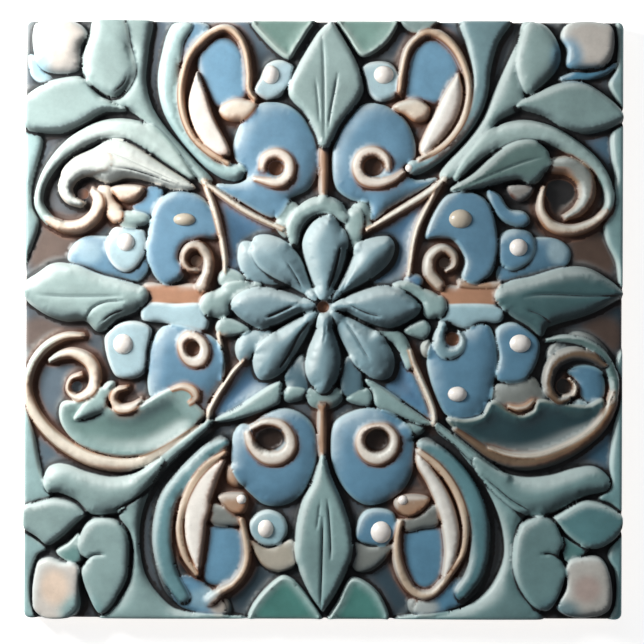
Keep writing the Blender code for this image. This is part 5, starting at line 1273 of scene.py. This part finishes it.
# %% Hollow and slanting places
NEAR_REACH = 1.0        # mm
WIDE_REACH = 2.6
count = int(SIDE / CELL) + 2
column, row = (np.clip(((places + SIDE / 2) / CELL).astype(int), 0, count - 1)).T
weight = np.zeros((count, count))
total = np.zeros((count, count))
np.add.at(weight, (row, column), 1)
np.add.at(total, (row, column), height)
weight_near, total_near = blurred(weight, 0.4), blurred(total, 0.4)
raster = np.where(weight > 0, total / np.maximum(weight, 1), total_near / np.maximum(weight_near, 1e-6))
near_field = blurred(raster, NEAR_REACH)
near_dip = np.clip((near_field[row, column] - height) / 1.3, 0, 1)
wide_dip = np.clip((blurred(raster, WIDE_REACH)[row, column] - height) / 1.8, 0, 1)
hollow = 0.6 * near_dip + 0.6 * wide_dip
rise_y, rise_x = np.gradient(near_field, CELL)
slant = (0.75 * rise_y - 0.66 * rise_x)[row, column]      # how steeply the place falls to the lower right
print("hollow places:", int((hollow > 0.5).sum()), "of", len(places))

# %% [markdown]
# ## From places to one closed skin
# The edge of the face is rolled over, a wall of a few rings goes down from it, and a flat back closes
# the body.

# %% The skin
WALL_LEVELS = (5.4, 3.6, 2.0, 0.5)       # heights of the rings down the side
BACK_BEVEL = 0.5


def rolled_edge(points):
    """How far the pressed edge falls away near the tile's side."""
    near = np.clip(edge_distance(points), 0, EDGE_ROUND)
    return EDGE_ROUND - np.sqrt(EDGE_ROUND**2 - (EDGE_ROUND - near) ** 2)


fall = rolled_edge(np.array([[SIDE / 2, 0.0]]))
print("the edge falls away by", round(float(fall[0]), 2), "mm at the side")

# %% Face, sides and back
level = height[source] + GROUND - rolled_edge(flat)
count = len(flat)
points = [np.column_stack([flat, level])]
faces = [tuple(t) for t in triangles.tolist()]
above = np.array([int(np.nonzero(source == i)[0][0]) for i in range(len(border))])
for z in (*WALL_LEVELS, 0.0):
    inset = BACK_BEVEL if z == 0 else 0
    ring = border * (1 - 2 * inset / SIDE)
    start = count
    points.append(np.column_stack([ring, np.full(len(ring), z)]))
    count += len(ring)
    below = np.arange(start, count)
    for i in range(len(ring)):
        j = (i + 1) % len(ring)
        faces.append((above[i], below[i], below[j], above[j]))
    above = below
faces.append(tuple(above[::-1]))
points = np.concatenate(points) * MM
print(len(points), "points and", len(faces), "faces to join")

# %% The mesh
skin = bpy.data.meshes.new("floral_tile")
skin.from_pydata(points.tolist(), [], faces)
skin.shade_smooth()
skin.polygons[-1].use_smooth = False         # the back is flat, with a crisp edge
tile = bpy.data.objects.new("floral_tile", skin)
bpy.context.scene.collection.objects.link(tile)
was_mended = skin.validate()
print("faces", len(skin.polygons), "changed by validation:", was_mended)

# %% [markdown]
# ## Which glaze lies where
# A glaze is three colours: where it lies evenly, where it breaks over a rim, and where it pools in a
# dip. The colours are stored on the skin's points, so that they follow the forms exactly; the shader
# adds what no drawing holds, such as clouds, specks and ripples.

# %% Green glazes
# Name: even, rim and pooled colour as they look in daylight, width of the rim in mm. A pale rim is partly
# glaze that breaks thin and partly painted highlight. sage_mid, sage_deep, crescent_mid and boat_se are
# darker copies for forms on the right, partly painted shade.
GLAZES = {
    "sage": ((146, 168, 166), (170, 188, 185), (98, 130, 130), 0.8),
    "petal": ((132, 158, 167), (164, 186, 192), (90, 120, 130), 0.7),
    "teal": ((112, 150, 146), (196, 214, 208), (62, 98, 98), 0.8),
    "green": ((140, 172, 163), (184, 202, 196), (92, 148, 138), 2.8),
    "green_soft": ((142, 166, 158), (176, 194, 188), (118, 150, 142), 2.4),
    "pale_sage": ((176, 194, 190), (150, 172, 168), (130, 150, 148), 0.9),
    "sage_mid": ((100, 124, 120), (160, 178, 174), (80, 108, 106), 0.8),
    "sage_deep": ((76, 106, 108), (140, 160, 158), (60, 90, 92), 0.7),
    "crescent": ((160, 188, 188), (140, 168, 170), (100, 130, 132), 0.8),
    "crescent_mid": ((124, 154, 160), (150, 176, 178), (100, 130, 132), 0.9),
    "frame": ((150, 178, 178), (192, 208, 204), (110, 130, 130), 0.8),
    "rimmed": ((120, 158, 160), (206, 218, 212), (90, 124, 126), 1.4),
    "boat_sw": ((146, 170, 167), (190, 204, 198), (104, 132, 128), 0.8),
    "boat_se": ((74, 102, 104), (140, 140, 126), (44, 72, 78), 0.8),
    "hollow_deep": ((24, 40, 46), (18, 30, 34), (24, 38, 44), 1.2),
}
print(len(GLAZES), "green glazes")

# %% Blue and white glazes
GLAZES |= {
    "blue": ((104, 144, 170), (154, 184, 197), (80, 126, 162), 0.7),
    "pale": ((172, 198, 206), (218, 228, 230), (116, 150, 162), 0.8),
    "star": ((92, 134, 166), (150, 170, 180), (70, 108, 140), 0.7),
    "star_grey": ((84, 112, 124), (120, 144, 150), (60, 84, 94), 0.8),
    # The panel's dark rim is painted shade along its edges.
    "panel": ((112, 156, 184), (84, 112, 132), (90, 120, 150), 1.6),
    "crescent_blue": ((112, 150, 156), (78, 112, 120), (80, 120, 134), 0.8),
    "white": ((216, 222, 216), (226, 214, 198), (150, 170, 168), 0.6),
    "ground": ((58, 78, 90), (58, 78, 90), (58, 78, 90), 1.0),
}
print(len(GLAZES), "glazes so far")

# %% Cream, tan and grey glazes
GLAZES |= {
    "cream": ((218, 205, 188), (166, 118, 84), (120, 80, 56), 0.7),
    "rust": ((150, 140, 134), (104, 62, 48), (90, 70, 60), 0.9),
    "shade": ((150, 155, 150), (165, 130, 100), (90, 70, 60), 0.9),
    "tusk": ((236, 230, 222), (176, 138, 110), (160, 130, 108), 0.6),
    "loop": ((206, 182, 158), (132, 88, 60), (96, 60, 40), 0.45),
    "rope": ((216, 206, 190), (156, 122, 94), (110, 76, 54), 0.7),
    "ring": ((232, 222, 210), (150, 108, 80), (130, 90, 66), 0.75),
    "scroll": ((196, 184, 170), (124, 90, 68), (100, 70, 50), 0.7),
    "rib": ((228, 219, 204), (186, 154, 126), (120, 96, 84), 0.35),
    "tan": ((180, 146, 120), (120, 82, 58), (100, 68, 48), 0.7),
    # tan_deep is a darker copy of tan for the lower right arch and curl, partly painted shade.
    "tan_deep": ((142, 108, 84), (96, 62, 44), (90, 60, 44), 0.9),
    "peach": ((176, 130, 102), (140, 116, 100), (110, 84, 70), 0.8),
    "bud": ((208, 201, 193), (186, 190, 188), (180, 180, 180), 1.2),
    "grey": ((124, 128, 124), (160, 160, 152), (90, 92, 90), 0.7),
    # This grey colours the painted shadow around the lower right curl.
    "slate": ((84, 84, 84), (100, 98, 92), (70, 70, 70), 0.7),
    "cream_grey": ((172, 164, 150), (160, 136, 114), (130, 118, 106), 0.7),
}
print(len(GLAZES), "glazes so far")

# %% Daylight colours
BISQUE = (198, 176, 148)


def linear(colour):
    """A daylight colour, 0 to 255, as the linear values that a shader works in."""
    value = np.array(colour, dtype=float) / 255
    return np.where(value <= 0.04045, value / 12.92, ((value + 0.055) / 1.055) ** 2.4)


print("bare clay as linear values:", linear(BISQUE).round(3))

# %% Where the ground changes colour
# Patches where the ground has another colour: centre, half widths, colour. The five darkest stand for
# the deep shade in wide gaps between the forms: painted shade.
GROUND_PATCHES = [
    ((24, -48), (8, 8), (30, 28, 28)),
    ((56, -14), (8, 12), (34, 32, 32)),
    ((-24, -46), (6, 8), (52, 46, 44)),
    ((56, 30), (10, 12), (36, 36, 38)),
    ((46, -62), (10, 16), (30, 44, 50)),
    ((-70, 18), (8, 7), (100, 84, 76)),
    ((-72, -4), (7, 5), (98, 84, 78)),
    ((69, 17), (8, 7), (88, 70, 60)),
    ((71, -4), (6, 6), (84, 68, 60)),
    ((-27, -9), (3, 5), (120, 78, 54)),
    ((-22, 31), (9, 5), (104, 140, 164)),
    ((22, 32), (9, 5), (96, 134, 160)),
    ((0, 40), (3, 12), (112, 86, 68)),
    ((0, -30), (3, 9), (96, 72, 58)),
    ((-36, 12), (8, 6), (124, 100, 84)),
    ((34, 12), (8, 6), (96, 80, 70)),
    ((-66, -20), (7, 9), (84, 100, 112)),
    ((-70, 34), (8, 8), (92, 104, 112)),
    ((-26, 72), (12, 6), (96, 120, 138)),
    ((24, 74), (14, 5), (84, 106, 122)),
    ((70, 45), (6, 8), (70, 110, 134)),
    ((72, -34), (5, 8), (62, 104, 128)),
    ((-72, -34), (6, 8), (84, 108, 122)),
    ((-40, 70), (5, 9), (84, 104, 120)),
]
print(len(GROUND_PATCHES), "patches of ground")

# %% [markdown]
# ## Where a glaze has run
# In the kiln a glaze may creep over its neighbour. A few such runs show on the buds, the cups and at
# the feet of the loops.

# %% Runs
# Places where one glaze has run into another: centre, half widths, colour
RUNS = [
    ((-72, -10), (6, 8), (168, 184, 176)),
    ((-58, 46), (9, 4), (196, 208, 204)),
    ((61.5, 66.5), (4.5, 6), (88, 150, 182)),
    ((67, 62.6), (8, 2.5), (84, 146, 178)),
    ((-74, 65), (5, 5), (140, 182, 198)),
    ((-61.5, -74), (6, 5), (120, 168, 170)),
    ((-68, -68), (4, 5), (232, 208, 186)),
    ((67, -68), (4, 4), (186, 164, 156)),
    ((60, -74), (6, 4), (96, 140, 150)),
    ((59.5, 17.6), (3, 3.6), (176, 204, 214)),
    ((-60, 17), (4, 3.4), (160, 190, 204)),
    ((-30, -71), (5, 3), (140, 176, 192)),
    ((-26.4, -72.6), (2.6, 3), (214, 200, 184)),
    ((26, -73), (4, 2.5), (190, 196, 190)),
    ((-10, 62), (3, 4), (170, 196, 206)),
]
print(len(RUNS), "runs")

# %% [markdown]
# ## The colour of each place
# Each place takes the three colours of its glaze by how near it is to a rim and how deep it lies in a
# dip. Towards the lower right, furthest from the light, the colours are darkened and turned greener as
# painted shade. The wells are brown, darkened to black as painted shade.

# %% Colours
names = list(GLAZES)
even, rim, pooled = (np.array([linear(GLAZES[name][k]) for name in names]) for k in range(3))
rim_width = np.array([GLAZES[name][3] for name in names])
glaze_of_form = [names.index(form["glaze"]) for form in FORM_BY_NAME.values()]
glaze_at = np.array([*glaze_of_form, names.index("ground")])[form_at]      # the ground's number is -1
near_rim = 1 - soft_step(rim_gap / rim_width[glaze_at])
near_rim[form_at < 0] = 0
colour = even[glaze_at] * (1 - pool[:, None]) + pooled[glaze_at] * pool[:, None]
colour = colour * (1 - near_rim[:, None]) + rim[glaze_at] * near_rim[:, None]
print("mean colour:", colour.mean(axis=0).round(3))

# %% Painted shade to the lower right
PALE_GLAZES = (*WARM_GLAZES, "white", "bud", "cream_grey", "grey")       # these hardly darken
SHADE_TINT = (0.7, 0.42, 0.36)            # what the painted shade takes out of red, green and blue
lower_right_shade = np.clip(0.25 + 0.5 * (places[:, 0] - places[:, 1]) / SIDE, 0, 0.75)     # painted shade, stronger away from the light
is_pale = np.isin(glaze_at, [names.index(name) for name in PALE_GLAZES])
colour *= 1 - (lower_right_shade * np.where(is_pale, 0.25, 1))[:, None] * SHADE_TINT
print("mean colour:", colour.mean(axis=0).round(3))

# %% Wells, patches and runs
WELL_BROWN = (170, 108, 70)
# The wells' brown is oxide; its darkening towards black is painted shade of the hole.
brown_at = linear(WELL_BROWN) * (1 - 0.95 * well_tone[:, None] ** 0.7)
colour = colour * (1 - well[:, None]) + brown_at * well[:, None]
for centre, half_widths, patch in GROUND_PATCHES:
    reach = np.hypot(*((places - centre) / half_widths).T)
    share = ((form_at < 0) * (1 - soft_step((reach - 0.6) / 0.7)))[:, None]
    colour = colour * (1 - share) + linear(patch) * share
for centre, half_widths, run in RUNS:
    reach = np.hypot(*((places - centre) / half_widths).T)
    share = ((form_at >= 0) * (1 - soft_step((reach - 0.5) / 0.7)))[:, None] * 0.8
    colour = colour * (1 - share) + linear(run) * share
print("mean colour:", colour.mean(axis=0).round(3))

# %% [markdown]
# ## Which way a place leans
# The light comes from the upper left, so painted shade is laid on the lower right side of every form, and
# the rims on its upper left get a painted highlight. The lean of a place comes from its normal and from
# the slope of the ground around it.

# %% Lean
skirt = len(points) - len(flat)           # points of the sides and the back
away = np.array([0.66, -0.75, 0.0])       # down and to the right, away from the light
normals = np.zeros(len(points) * 3)
skin.vertex_normals.foreach_get("vector", normals)
lean = 0.45 * (normals.reshape(-1, 3)[:len(flat)] @ away) + 0.75 * slant[source]
lean *= 1 - well[source]
print("places that lean away:", int((lean > 0.1).sum()))

# %% [markdown]
# ## What the skin carries
# The shader reads all this from attributes on the skin's points: the colour, the wash with its painted
# shade, the hollows, the lean, how warm the wash is, and where the clay is bare. The sides and the back
# have no glaze at all.

# %% Attributes
def on_skin(face_values, skirt_value):
    """One value for each point of the skin: the face's own, and the same all over the sides and the back."""
    return np.concatenate([face_values, np.full(skirt, skirt_value)])


# Painted shade: the wash is weakened on slopes that face the light and strengthened on those that face away
# from it and towards the lower right.
wash_and_shade = oxide_and_shade * np.clip(0.62 + 0.9 * slant, 0.25, 1) * (0.85 + 0.45 * lower_right_shade)
STORED = {
    "oxide_and_shade": on_skin(wash_and_shade[source], 0.0),
    "hollow": on_skin((hollow * (1 - well))[source], 0.0),
    "lean": on_skin(lean, 0.0),
    "warmth": on_skin(warmth[source], 0.0),
    "bare_clay": on_skin(np.zeros(len(flat)), 1.0),
}
for name, values in STORED.items():
    skin.attributes.new(name, "FLOAT", "POINT").data.foreach_set("value", values)
channels = [on_skin(colour[source, k], linear(BISQUE)[k]) for k in range(3)]
colour = np.column_stack([*channels, np.ones(len(points))])
skin.attributes.new("glaze_colour", "FLOAT_COLOR", "POINT").data.foreach_set("color", colour.ravel())
print("stored on", len(points), "points: glaze_colour,", ", ".join(STORED))

# %% [markdown]
# ## The glaze shader
# A glaze is glass over clay. The shader lays clouds and mottling over the stored colour, adds a painted
# highlight on the side of each form towards the light, lets the oxide wash and the painted shade show,
# wears the gloss down where the wash lies, and ripples the surface a little.

# %% Textures and ranges
def feed(tree, socket, value):
    """Give a socket its value, or a link if the value is another node's socket."""
    if isinstance(value, bpy.types.NodeSocket):
        tree.links.new(value, socket)
    else:
        socket.default_value = value


def add_node(tree, kind, **inputs):
    """A node with its inputs set."""
    node = tree.nodes.new(kind)
    for key, value in inputs.items():
        feed(tree, node.inputs[key], value)
    return node


def noise(tree, scale, detail, roughness=0.55):
    """Soft noise on Object coordinates, scale in patches per metre."""
    node = add_node(tree, "ShaderNodeTexNoise", Vector=tree.nodes["places"].outputs["Object"])
    node.inputs["Scale"].default_value = scale
    node.inputs["Detail"].default_value = detail
    node.inputs["Roughness"].default_value = roughness
    return node.outputs["Fac"]


def ramp(tree, value, low, high, out_low=0.0, out_high=1.0):
    """A soft change from out_low to out_high as the value goes from low to high."""
    node = tree.nodes.new("ShaderNodeMapRange")
    node.interpolation_type = "SMOOTHSTEP"
    tree.links.new(value, node.inputs["Value"])
    for key, number in (("From Min", low), ("From Max", high), ("To Min", out_low), ("To Max", out_high)):
        node.inputs[key].default_value = number
    return node.outputs["Result"]


print("a daylight grey is", linear((128, 128, 128)).round(3), "inside the shader")

# %% Sums, mixes and stored values
def math_node(tree, operation, a, b):
    """Two numbers or sockets put together by one operation."""
    node = tree.nodes.new("ShaderNodeMath")
    node.operation = operation
    for socket, value in zip(node.inputs, (a, b)):
        feed(tree, socket, value)
    return node.outputs[0]


def mixed(tree, factor, a, b, blend="MIX"):
    """Colour a where the factor is 0 and b where it is 1."""
    node = tree.nodes.new("ShaderNodeMix")
    node.data_type = "RGBA"
    node.blend_type = blend
    factor_socket, a_socket, b_socket = (node.inputs[k] for k in (0, 6, 7))      # the colour inputs
    for socket, value in ((factor_socket, factor), (a_socket, a), (b_socket, b)):
        feed(tree, socket, value)
    return node.outputs[2]


def attribute(tree, name, output):
    """What the skin stores under a name: its Color or its number, Fac."""
    node = tree.nodes.new("ShaderNodeAttribute")
    node.attribute_name = name
    return node.outputs[output]


def paint(colour):
    """A daylight colour as the four values of a colour socket."""
    return (*linear(colour), 1)


print("bare clay as a socket value:", [round(float(v), 3) for v in paint(BISQUE)])

# %% [markdown]
# ## The glaze itself
# First the clouds and the mottling of a thick glaze, then a painted highlight on the side towards the
# light, then the wash over it, brown beside the cream forms and blue-black elsewhere, which is partly
# oxide and partly painted shade, then fine specks of iron. The gloss is soft, as on a satin glaze, and
# duller where the wash lies.

# %% The wash and the painted shade in the shader
OXIDE_THIN = (152, 96, 58)        # the brown wash beside the cream forms: oxide, with painted shade in it
OXIDE_THICK = (74, 43, 27)
COOL_SHADE_THIN = (62, 78, 86)          # the wash everywhere else, painted blue-black as shade
COOL_SHADE_THICK = (12, 16, 20)


def wash_and_shade_mark(tree, mottle):
    """How dark the mark is: oxide where it was brushed, and painted shade in the hollows and on the side of
    a form away from the light.
    """
    uneven = ramp(tree, mottle, 0.25, 0.7, 0.75, 1.15)
    brushed = math_node(tree, "MULTIPLY", attribute(tree, "oxide_and_shade", "Fac"), uneven)
    sunk = ramp(tree, attribute(tree, "hollow", "Fac"), 0.12, 0.8, 0.0, 0.85)
    shaded = ramp(tree, attribute(tree, "lean", "Fac"), 0.04, 0.62, 0.0, 0.8)
    mark = math_node(tree, "ADD", ramp(tree, brushed, 0.04, 0.8), sunk)
    return math_node(tree, "MINIMUM", math_node(tree, "ADD", mark, shaded), 1.0)


def washed_and_shaded(tree, colour, mark):
    """The colour with the wash and the painted shade over it, darker where the mark is strong."""
    thick = ramp(tree, mark, 0.35, 1.0)
    brown = mixed(tree, thick, paint(OXIDE_THIN), paint(OXIDE_THICK))
    cool = mixed(tree, thick, paint(COOL_SHADE_THIN), paint(COOL_SHADE_THICK))
    wash_and_shade = mixed(tree, attribute(tree, "warmth", "Fac"), cool, brown)
    return mixed(tree, mark, colour, wash_and_shade)


print("thick wash, brown and cool:", OXIDE_THICK, COOL_SHADE_THICK)

# %% Gloss and ripples
RIPPLE_DEPTH = 0.00025            # metres
GRAIN_DEPTH = 0.0001
RIPPLE_SCALE = 260                # waves per metre


def set_gloss(tree, shader, clouds, mark, bare_clay):
    """A satin gloss, duller where the wash lies and dull on the bare clay."""
    glazed = ramp(tree, clouds, 0.3, 0.7, 0.47, 0.57)
    washed = math_node(tree, "ADD", glazed, ramp(tree, mark, 0, 1, 0.0, 0.25))
    rough = math_node(tree, "ADD", washed, ramp(tree, bare_clay, 0, 1, 0.0, 0.5))
    tree.links.new(rough, shader.inputs["Roughness"])
    shader.inputs["IOR"].default_value = 1.5
    shader.inputs["Coat Weight"].default_value = 0.06
    shader.inputs["Coat Roughness"].default_value = 0.22


def set_ripples(tree, shader, specks):
    """Shallow waves of the melted glaze, with a fine grain over them."""
    waves = noise(tree, RIPPLE_SCALE, 3)
    ripple = add_node(tree, "ShaderNodeBump", Height=waves, Strength=0.35, Distance=RIPPLE_DEPTH)
    grain = add_node(tree, "ShaderNodeBump", Height=specks, Strength=0.12, Distance=GRAIN_DEPTH)
    tree.links.new(ripple.outputs[0], grain.inputs["Normal"])
    tree.links.new(grain.outputs[0], shader.inputs["Normal"])


print("ripples", RIPPLE_DEPTH / MM, "mm deep, grain", GRAIN_DEPTH / MM)

# %% Glaze
CLOUD_SCALE = 70                  # patches per metre, as in the scales below
MOTTLE_SCALE = 420
SPECK_SCALE = 2600
CLAY_SCALE = 900
HIGHLIGHT_TINT = (226, 236, 234)        # painted highlight on the upper left of a form, the side towards the light
SPECK_TINT = (120, 88, 62)        # specks of iron
CLAY_TINT = (178, 154, 126)


def new_material(name):
    """A material with its shader, and a node named places that gives Object coordinates."""
    material = bpy.data.materials.new(name)
    material.use_nodes = True
    material.node_tree.nodes.new("ShaderNodeTexCoord").name = "places"
    return material, material.node_tree, material.node_tree.nodes["Principled BSDF"]


def glaze_material():
    """Clouded glaze with a painted highlight, the wash and painted shade over it, specks, and bare clay
    where no glaze lies.
    """
    material, tree, shader = new_material("glaze")
    clouds = noise(tree, CLOUD_SCALE, 4)
    mottle = noise(tree, MOTTLE_SCALE, 5, 0.65)
    specks = noise(tree, SPECK_SCALE, 2)
    mottling = ramp(tree, mottle, 0.3, 0.7, -0.05, 0.05)
    tone = math_node(tree, "ADD", ramp(tree, clouds, 0.3, 0.7, 0.86, 1.1), mottling)
    colour = mixed(tree, 1.0, attribute(tree, "glaze_colour", "Color"), tone, "MULTIPLY")
    # Painted highlight on the sides that face the light, where the lean is below zero.
    highlight = ramp(tree, attribute(tree, "lean", "Fac"), -0.55, -0.03, 0.4, 0.0)
    colour = mixed(tree, highlight, colour, paint(HIGHLIGHT_TINT))
    mark = wash_and_shade_mark(tree, mottle)
    colour = washed_and_shaded(tree, colour, mark)
    colour = mixed(tree, ramp(tree, specks, 0.7, 0.78, 0.0, 0.35), colour, paint(SPECK_TINT))
    fine = ramp(tree, noise(tree, CLAY_SCALE, 6), 0.3, 0.7)
    clay = mixed(tree, fine, paint(CLAY_TINT), paint(BISQUE))
    bare_clay = attribute(tree, "bare_clay", "Fac")
    tree.links.new(mixed(tree, bare_clay, colour, clay), shader.inputs["Base Color"])
    set_gloss(tree, shader, clouds, mark, bare_clay)
    set_ripples(tree, shader, specks)
    return material


glaze = glaze_material()
skin.materials.append(glaze)
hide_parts("tile")
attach(tile, "root")
print("glaze nodes:", len(glaze.node_tree.nodes))

# %% [markdown]
# ## Pearls
# The round domes in the cups are all one shape in different sizes, so Geometry Nodes set a ball on each
# of a handful of points. Each point carries its own half widths, and the tree ends in plain, real mesh.

# %% Pearls
# Name, centre, half widths, glaze
PEARLS = [
    ("pearl_nw", (-50.4, 19.6), (2.3, 2.4), "pearl"),
    ("pearl_ne", (49.4, 18.6), (2.4, 2.3), "pearl"),
    ("pearl_sw", (-51, -6.3), (2.6, 2.7), "pearl"),
    ("pearl_se", (49.9, -5.8), (2.8, 2.4), "pearl"),
    ("pearl_n_left", (-13.7, 62.3), (2.2, 2.5), "pearl"),
    ("pearl_n_right", (15, 62.4), (2.6, 2.4), "pearl"),
    ("pearl_s_left", (-14.6, -53.1), (2.1, 2.4), "pearl"),
    ("pearl_s_right", (14.7, -53.9), (2.7, 2.9), "pearl"),
    ("bead_nw", (-35.5, 25.4), (2.9, 1.7), "tan"),
    ("bead_ne", (34.6, 25.8), (3, 2.5), "tan"),
    ("bead_stub_sw", (-20.8, -45.6), (1.3, 1.3), "pearl"),
    ("bead_stub_se", (20.2, -45.7), (1.3, 1.3), "pearl"),
    ("bead_se", (34, -18.7), (2.5, 2), "pearl"),
    ("bead_crescent", (21.6, 38.7), (1.1, 1.1), "pearl"),
]
PEARL_RISE = 2.0                  # how far a pearl stands out of its cup, at most
PEARL_SUNK = 0.5
PEARL_SEGMENTS = 28
TAN_SHARE = 0.7
print(len(PEARLS), "pearls to set")

# %% A tree that sets balls on points
def pearl_tree(material):
    """Points with half widths in, glazed domes out."""
    tree = bpy.data.node_groups.new("set_pearls", "GeometryNodeTree")
    tree.interface.new_socket("Points", in_out="INPUT", socket_type="NodeSocketGeometry")
    detail = tree.interface.new_socket("Segments", in_out="INPUT", socket_type="NodeSocketInt")
    tree.interface.new_socket("Pearls", in_out="OUTPUT", socket_type="NodeSocketGeometry")
    start = tree.nodes.new("NodeGroupInput")
    end = tree.nodes.new("NodeGroupOutput")
    ball = tree.nodes.new("GeometryNodeMeshUVSphere")
    ball.inputs["Radius"].default_value = 1.0
    half_widths = tree.nodes.new("GeometryNodeInputNamedAttribute")
    half_widths.data_type = "FLOAT_VECTOR"
    half_widths.inputs["Name"].default_value = "half_widths"
    instances = tree.nodes.new("GeometryNodeInstanceOnPoints")
    smooth = tree.nodes.new("GeometryNodeSetShadeSmooth")
    real = tree.nodes.new("GeometryNodeRealizeInstances")
    finish = tree.nodes.new("GeometryNodeSetMaterial")
    finish.inputs["Material"].default_value = material
    link = tree.links.new
    link(start.outputs["Segments"], ball.inputs["Segments"])
    link(start.outputs["Segments"], ball.inputs["Rings"])
    link(start.outputs["Points"], instances.inputs["Points"])
    link(ball.outputs["Mesh"], smooth.inputs["Geometry"])
    link(smooth.outputs["Geometry"], instances.inputs["Instance"])
    link(half_widths.outputs["Attribute"], instances.inputs["Scale"])
    link(instances.outputs["Instances"], real.inputs["Geometry"])
    link(real.outputs["Geometry"], finish.inputs["Geometry"])
    link(finish.outputs["Geometry"], end.inputs["Pearls"])
    return tree, detail.identifier


# %% [markdown]
# ## Glaze of the pearls
# The pearls are white and glossy, with a ring of painted shade in brown where they meet the cup. Two of
# them are tan.

# %% Pearl glaze
PEARL_DULL = (232, 226, 219)
PEARL_WHITE = (244, 240, 236)
PEARL_TAN = (166, 152, 124)
PEARL_FOOT_SHADE = (92, 66, 50)


def pearl_glaze():
    """White glaze over the dome, with painted shade in brown where it meets the cup."""
    material, tree, shader = new_material("pearl_glaze")
    mottle = noise(tree, 500, 4)
    white = mixed(tree, ramp(tree, mottle, 0.35, 0.65), paint(PEARL_DULL), paint(PEARL_WHITE))
    shaded = mixed(tree, attribute(tree, "tan", "Fac"), white, paint(PEARL_TAN))
    upward = tree.nodes.new("ShaderNodeNewGeometry")
    parts = tree.nodes.new("ShaderNodeSeparateXYZ")
    tree.links.new(upward.outputs["Normal"], parts.inputs[0])
    # Painted shade: the dome turns brown where its side grows steep at the cup.
    foot = ramp(tree, parts.outputs["Z"], 0.1, 0.5, 0.9, 0.0)
    tree.links.new(mixed(tree, foot, shaded, paint(PEARL_FOOT_SHADE)), shader.inputs["Base Color"])
    tree.links.new(ramp(tree, mottle, 0.3, 0.7, 0.28, 0.4), shader.inputs["Roughness"])
    bump = add_node(tree, "ShaderNodeBump", Height=noise(tree, 300, 3), Strength=0.3, Distance=0.0002)
    tree.links.new(bump.outputs[0], shader.inputs["Normal"])
    shader.inputs["Coat Weight"].default_value = 0.2
    shader.inputs["Coat Roughness"].default_value = 0.15
    return material


print("pearl white as linear values:", linear(PEARL_WHITE).round(3))

# %% Set the pearls
def level_at(centre):
    """Height of the pressed face at a place, in mm over the ground."""
    near = np.argsort(np.hypot(*(places - centre).T))[:6]
    return height[near].mean()


feet = [(x, y, GROUND + level_at((x, y)) - PEARL_SUNK) for _, (x, y), _, _ in PEARLS]
seeds = bpy.data.meshes.new("pearls")
seeds.from_pydata((np.array(feet) * MM).tolist(), [], [])
widths = np.array([(a * MM, b * MM, min(PEARL_RISE, (a + b) / 2) * MM) for _, _, (a, b), _ in PEARLS])
seeds.attributes.new("half_widths", "FLOAT_VECTOR", "POINT").data.foreach_set("vector", widths.ravel())
tans = [TAN_SHARE if shade == "tan" else 0.0 for *_, shade in PEARLS]
seeds.attributes.new("tan", "FLOAT", "POINT").data.foreach_set("value", tans)
maker = bpy.data.objects.new("pearl_points", seeds)
bpy.context.scene.collection.objects.link(maker)
node_group, segments_id = pearl_tree(pearl_glaze())
modifier = maker.modifiers.new("set_pearls", "NODES")
modifier.node_group = node_group
modifier[segments_id] = PEARL_SEGMENTS
print("points with half widths:", len(seeds.vertices))

# %% The pearls as plain mesh
evaluated = maker.evaluated_get(bpy.context.evaluated_depsgraph_get())
pearls = bpy.data.objects.new("pearls", bpy.data.meshes.new_from_object(evaluated))
bpy.context.scene.collection.objects.link(pearls)
bpy.data.objects.remove(maker, do_unlink=True)
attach(pearls, "root")
print(len(feet), "pearls,", len(pearls.data.polygons), "faces")

# %% [markdown]
# ## Floor, light and camera
# A white floor, a large soft light from the upper left that falls off towards the lower right, a pale
# sky for the shadows, and a long lens straight above the tile.

# %% Floor
FLOOR_SIZE = 6.0
bpy.ops.mesh.primitive_plane_add(size=FLOOR_SIZE, location=(0, 0, cad_low.z))
floor = bpy.context.object
floor.name = "floor"
paper = bpy.data.materials.new("paper")
paper.use_nodes = True
paper_shader = paper.node_tree.nodes["Principled BSDF"]
paper_shader.inputs["Base Color"].default_value = (0.9, 0.9, 0.9, 1)
paper_shader.inputs["Roughness"].default_value = 0.9
paper_shader.inputs["Emission Color"].default_value = (1, 1, 1, 1)
paper_shader.inputs["Emission Strength"].default_value = 0.75
floor.data.materials.append(paper)
print("floor at", round(cad_low.z / MM, 2), "mm")

# %% Sky and lamps
world = bpy.data.worlds.new("studio")
bpy.context.scene.world = world
world.use_nodes = True
world.node_tree.nodes["Background"].inputs["Color"].default_value = (0.93, 0.96, 1.0, 1)
world.node_tree.nodes["Background"].inputs["Strength"].default_value = 0.17


def add_light(name, place, size, power, tint):
    """A square lamp that looks at the middle of the tile."""
    lamp = bpy.data.lights.new(name, "AREA")
    lamp.size = size
    lamp.energy = power
    lamp.color = tint
    holder = bpy.data.objects.new(name, lamp)
    bpy.context.scene.collection.objects.link(holder)
    holder.location = place
    holder.rotation_euler = (-Vector(place)).to_track_quat("-Z", "Y").to_euler()


add_light("key", (-0.21, 0.1, 0.16), 0.1, 1.15, tint=(1, 0.98, 0.95))
add_light("fill", (-0.1, 0.4, 0.5), 0.4, 0.3, tint=(0.93, 0.97, 1))

# %% [markdown]
# ## Camera
# The camera looks straight down through a long lens, so that the sides of the tile stay parallel as
# they do in the photograph. The tile lay a hair off the middle and a fifth of a degree turned.

# %% Camera
LENS = 100.0
SENSOR = 36.0
FRAME_WIDTH = 164.1 * MM                  # what the frame takes in at the level of the face
FACE_LEVEL = 8.0 * MM
camera = bpy.data.cameras.new("camera")
camera.lens = LENS
camera.sensor_width = SENSOR
viewer = bpy.data.objects.new("camera", camera)
bpy.context.scene.collection.objects.link(viewer)
viewer.location = (-0.46 * MM, -0.51 * MM, FACE_LEVEL + FRAME_WIDTH * LENS / SENSOR)
viewer.rotation_euler = (0, 0, math.radians(0.2))
bpy.context.scene.camera = viewer
bpy.context.scene.view_settings.view_transform = "Standard"
print("camera", round(viewer.location.z, 3), "m over the floor")
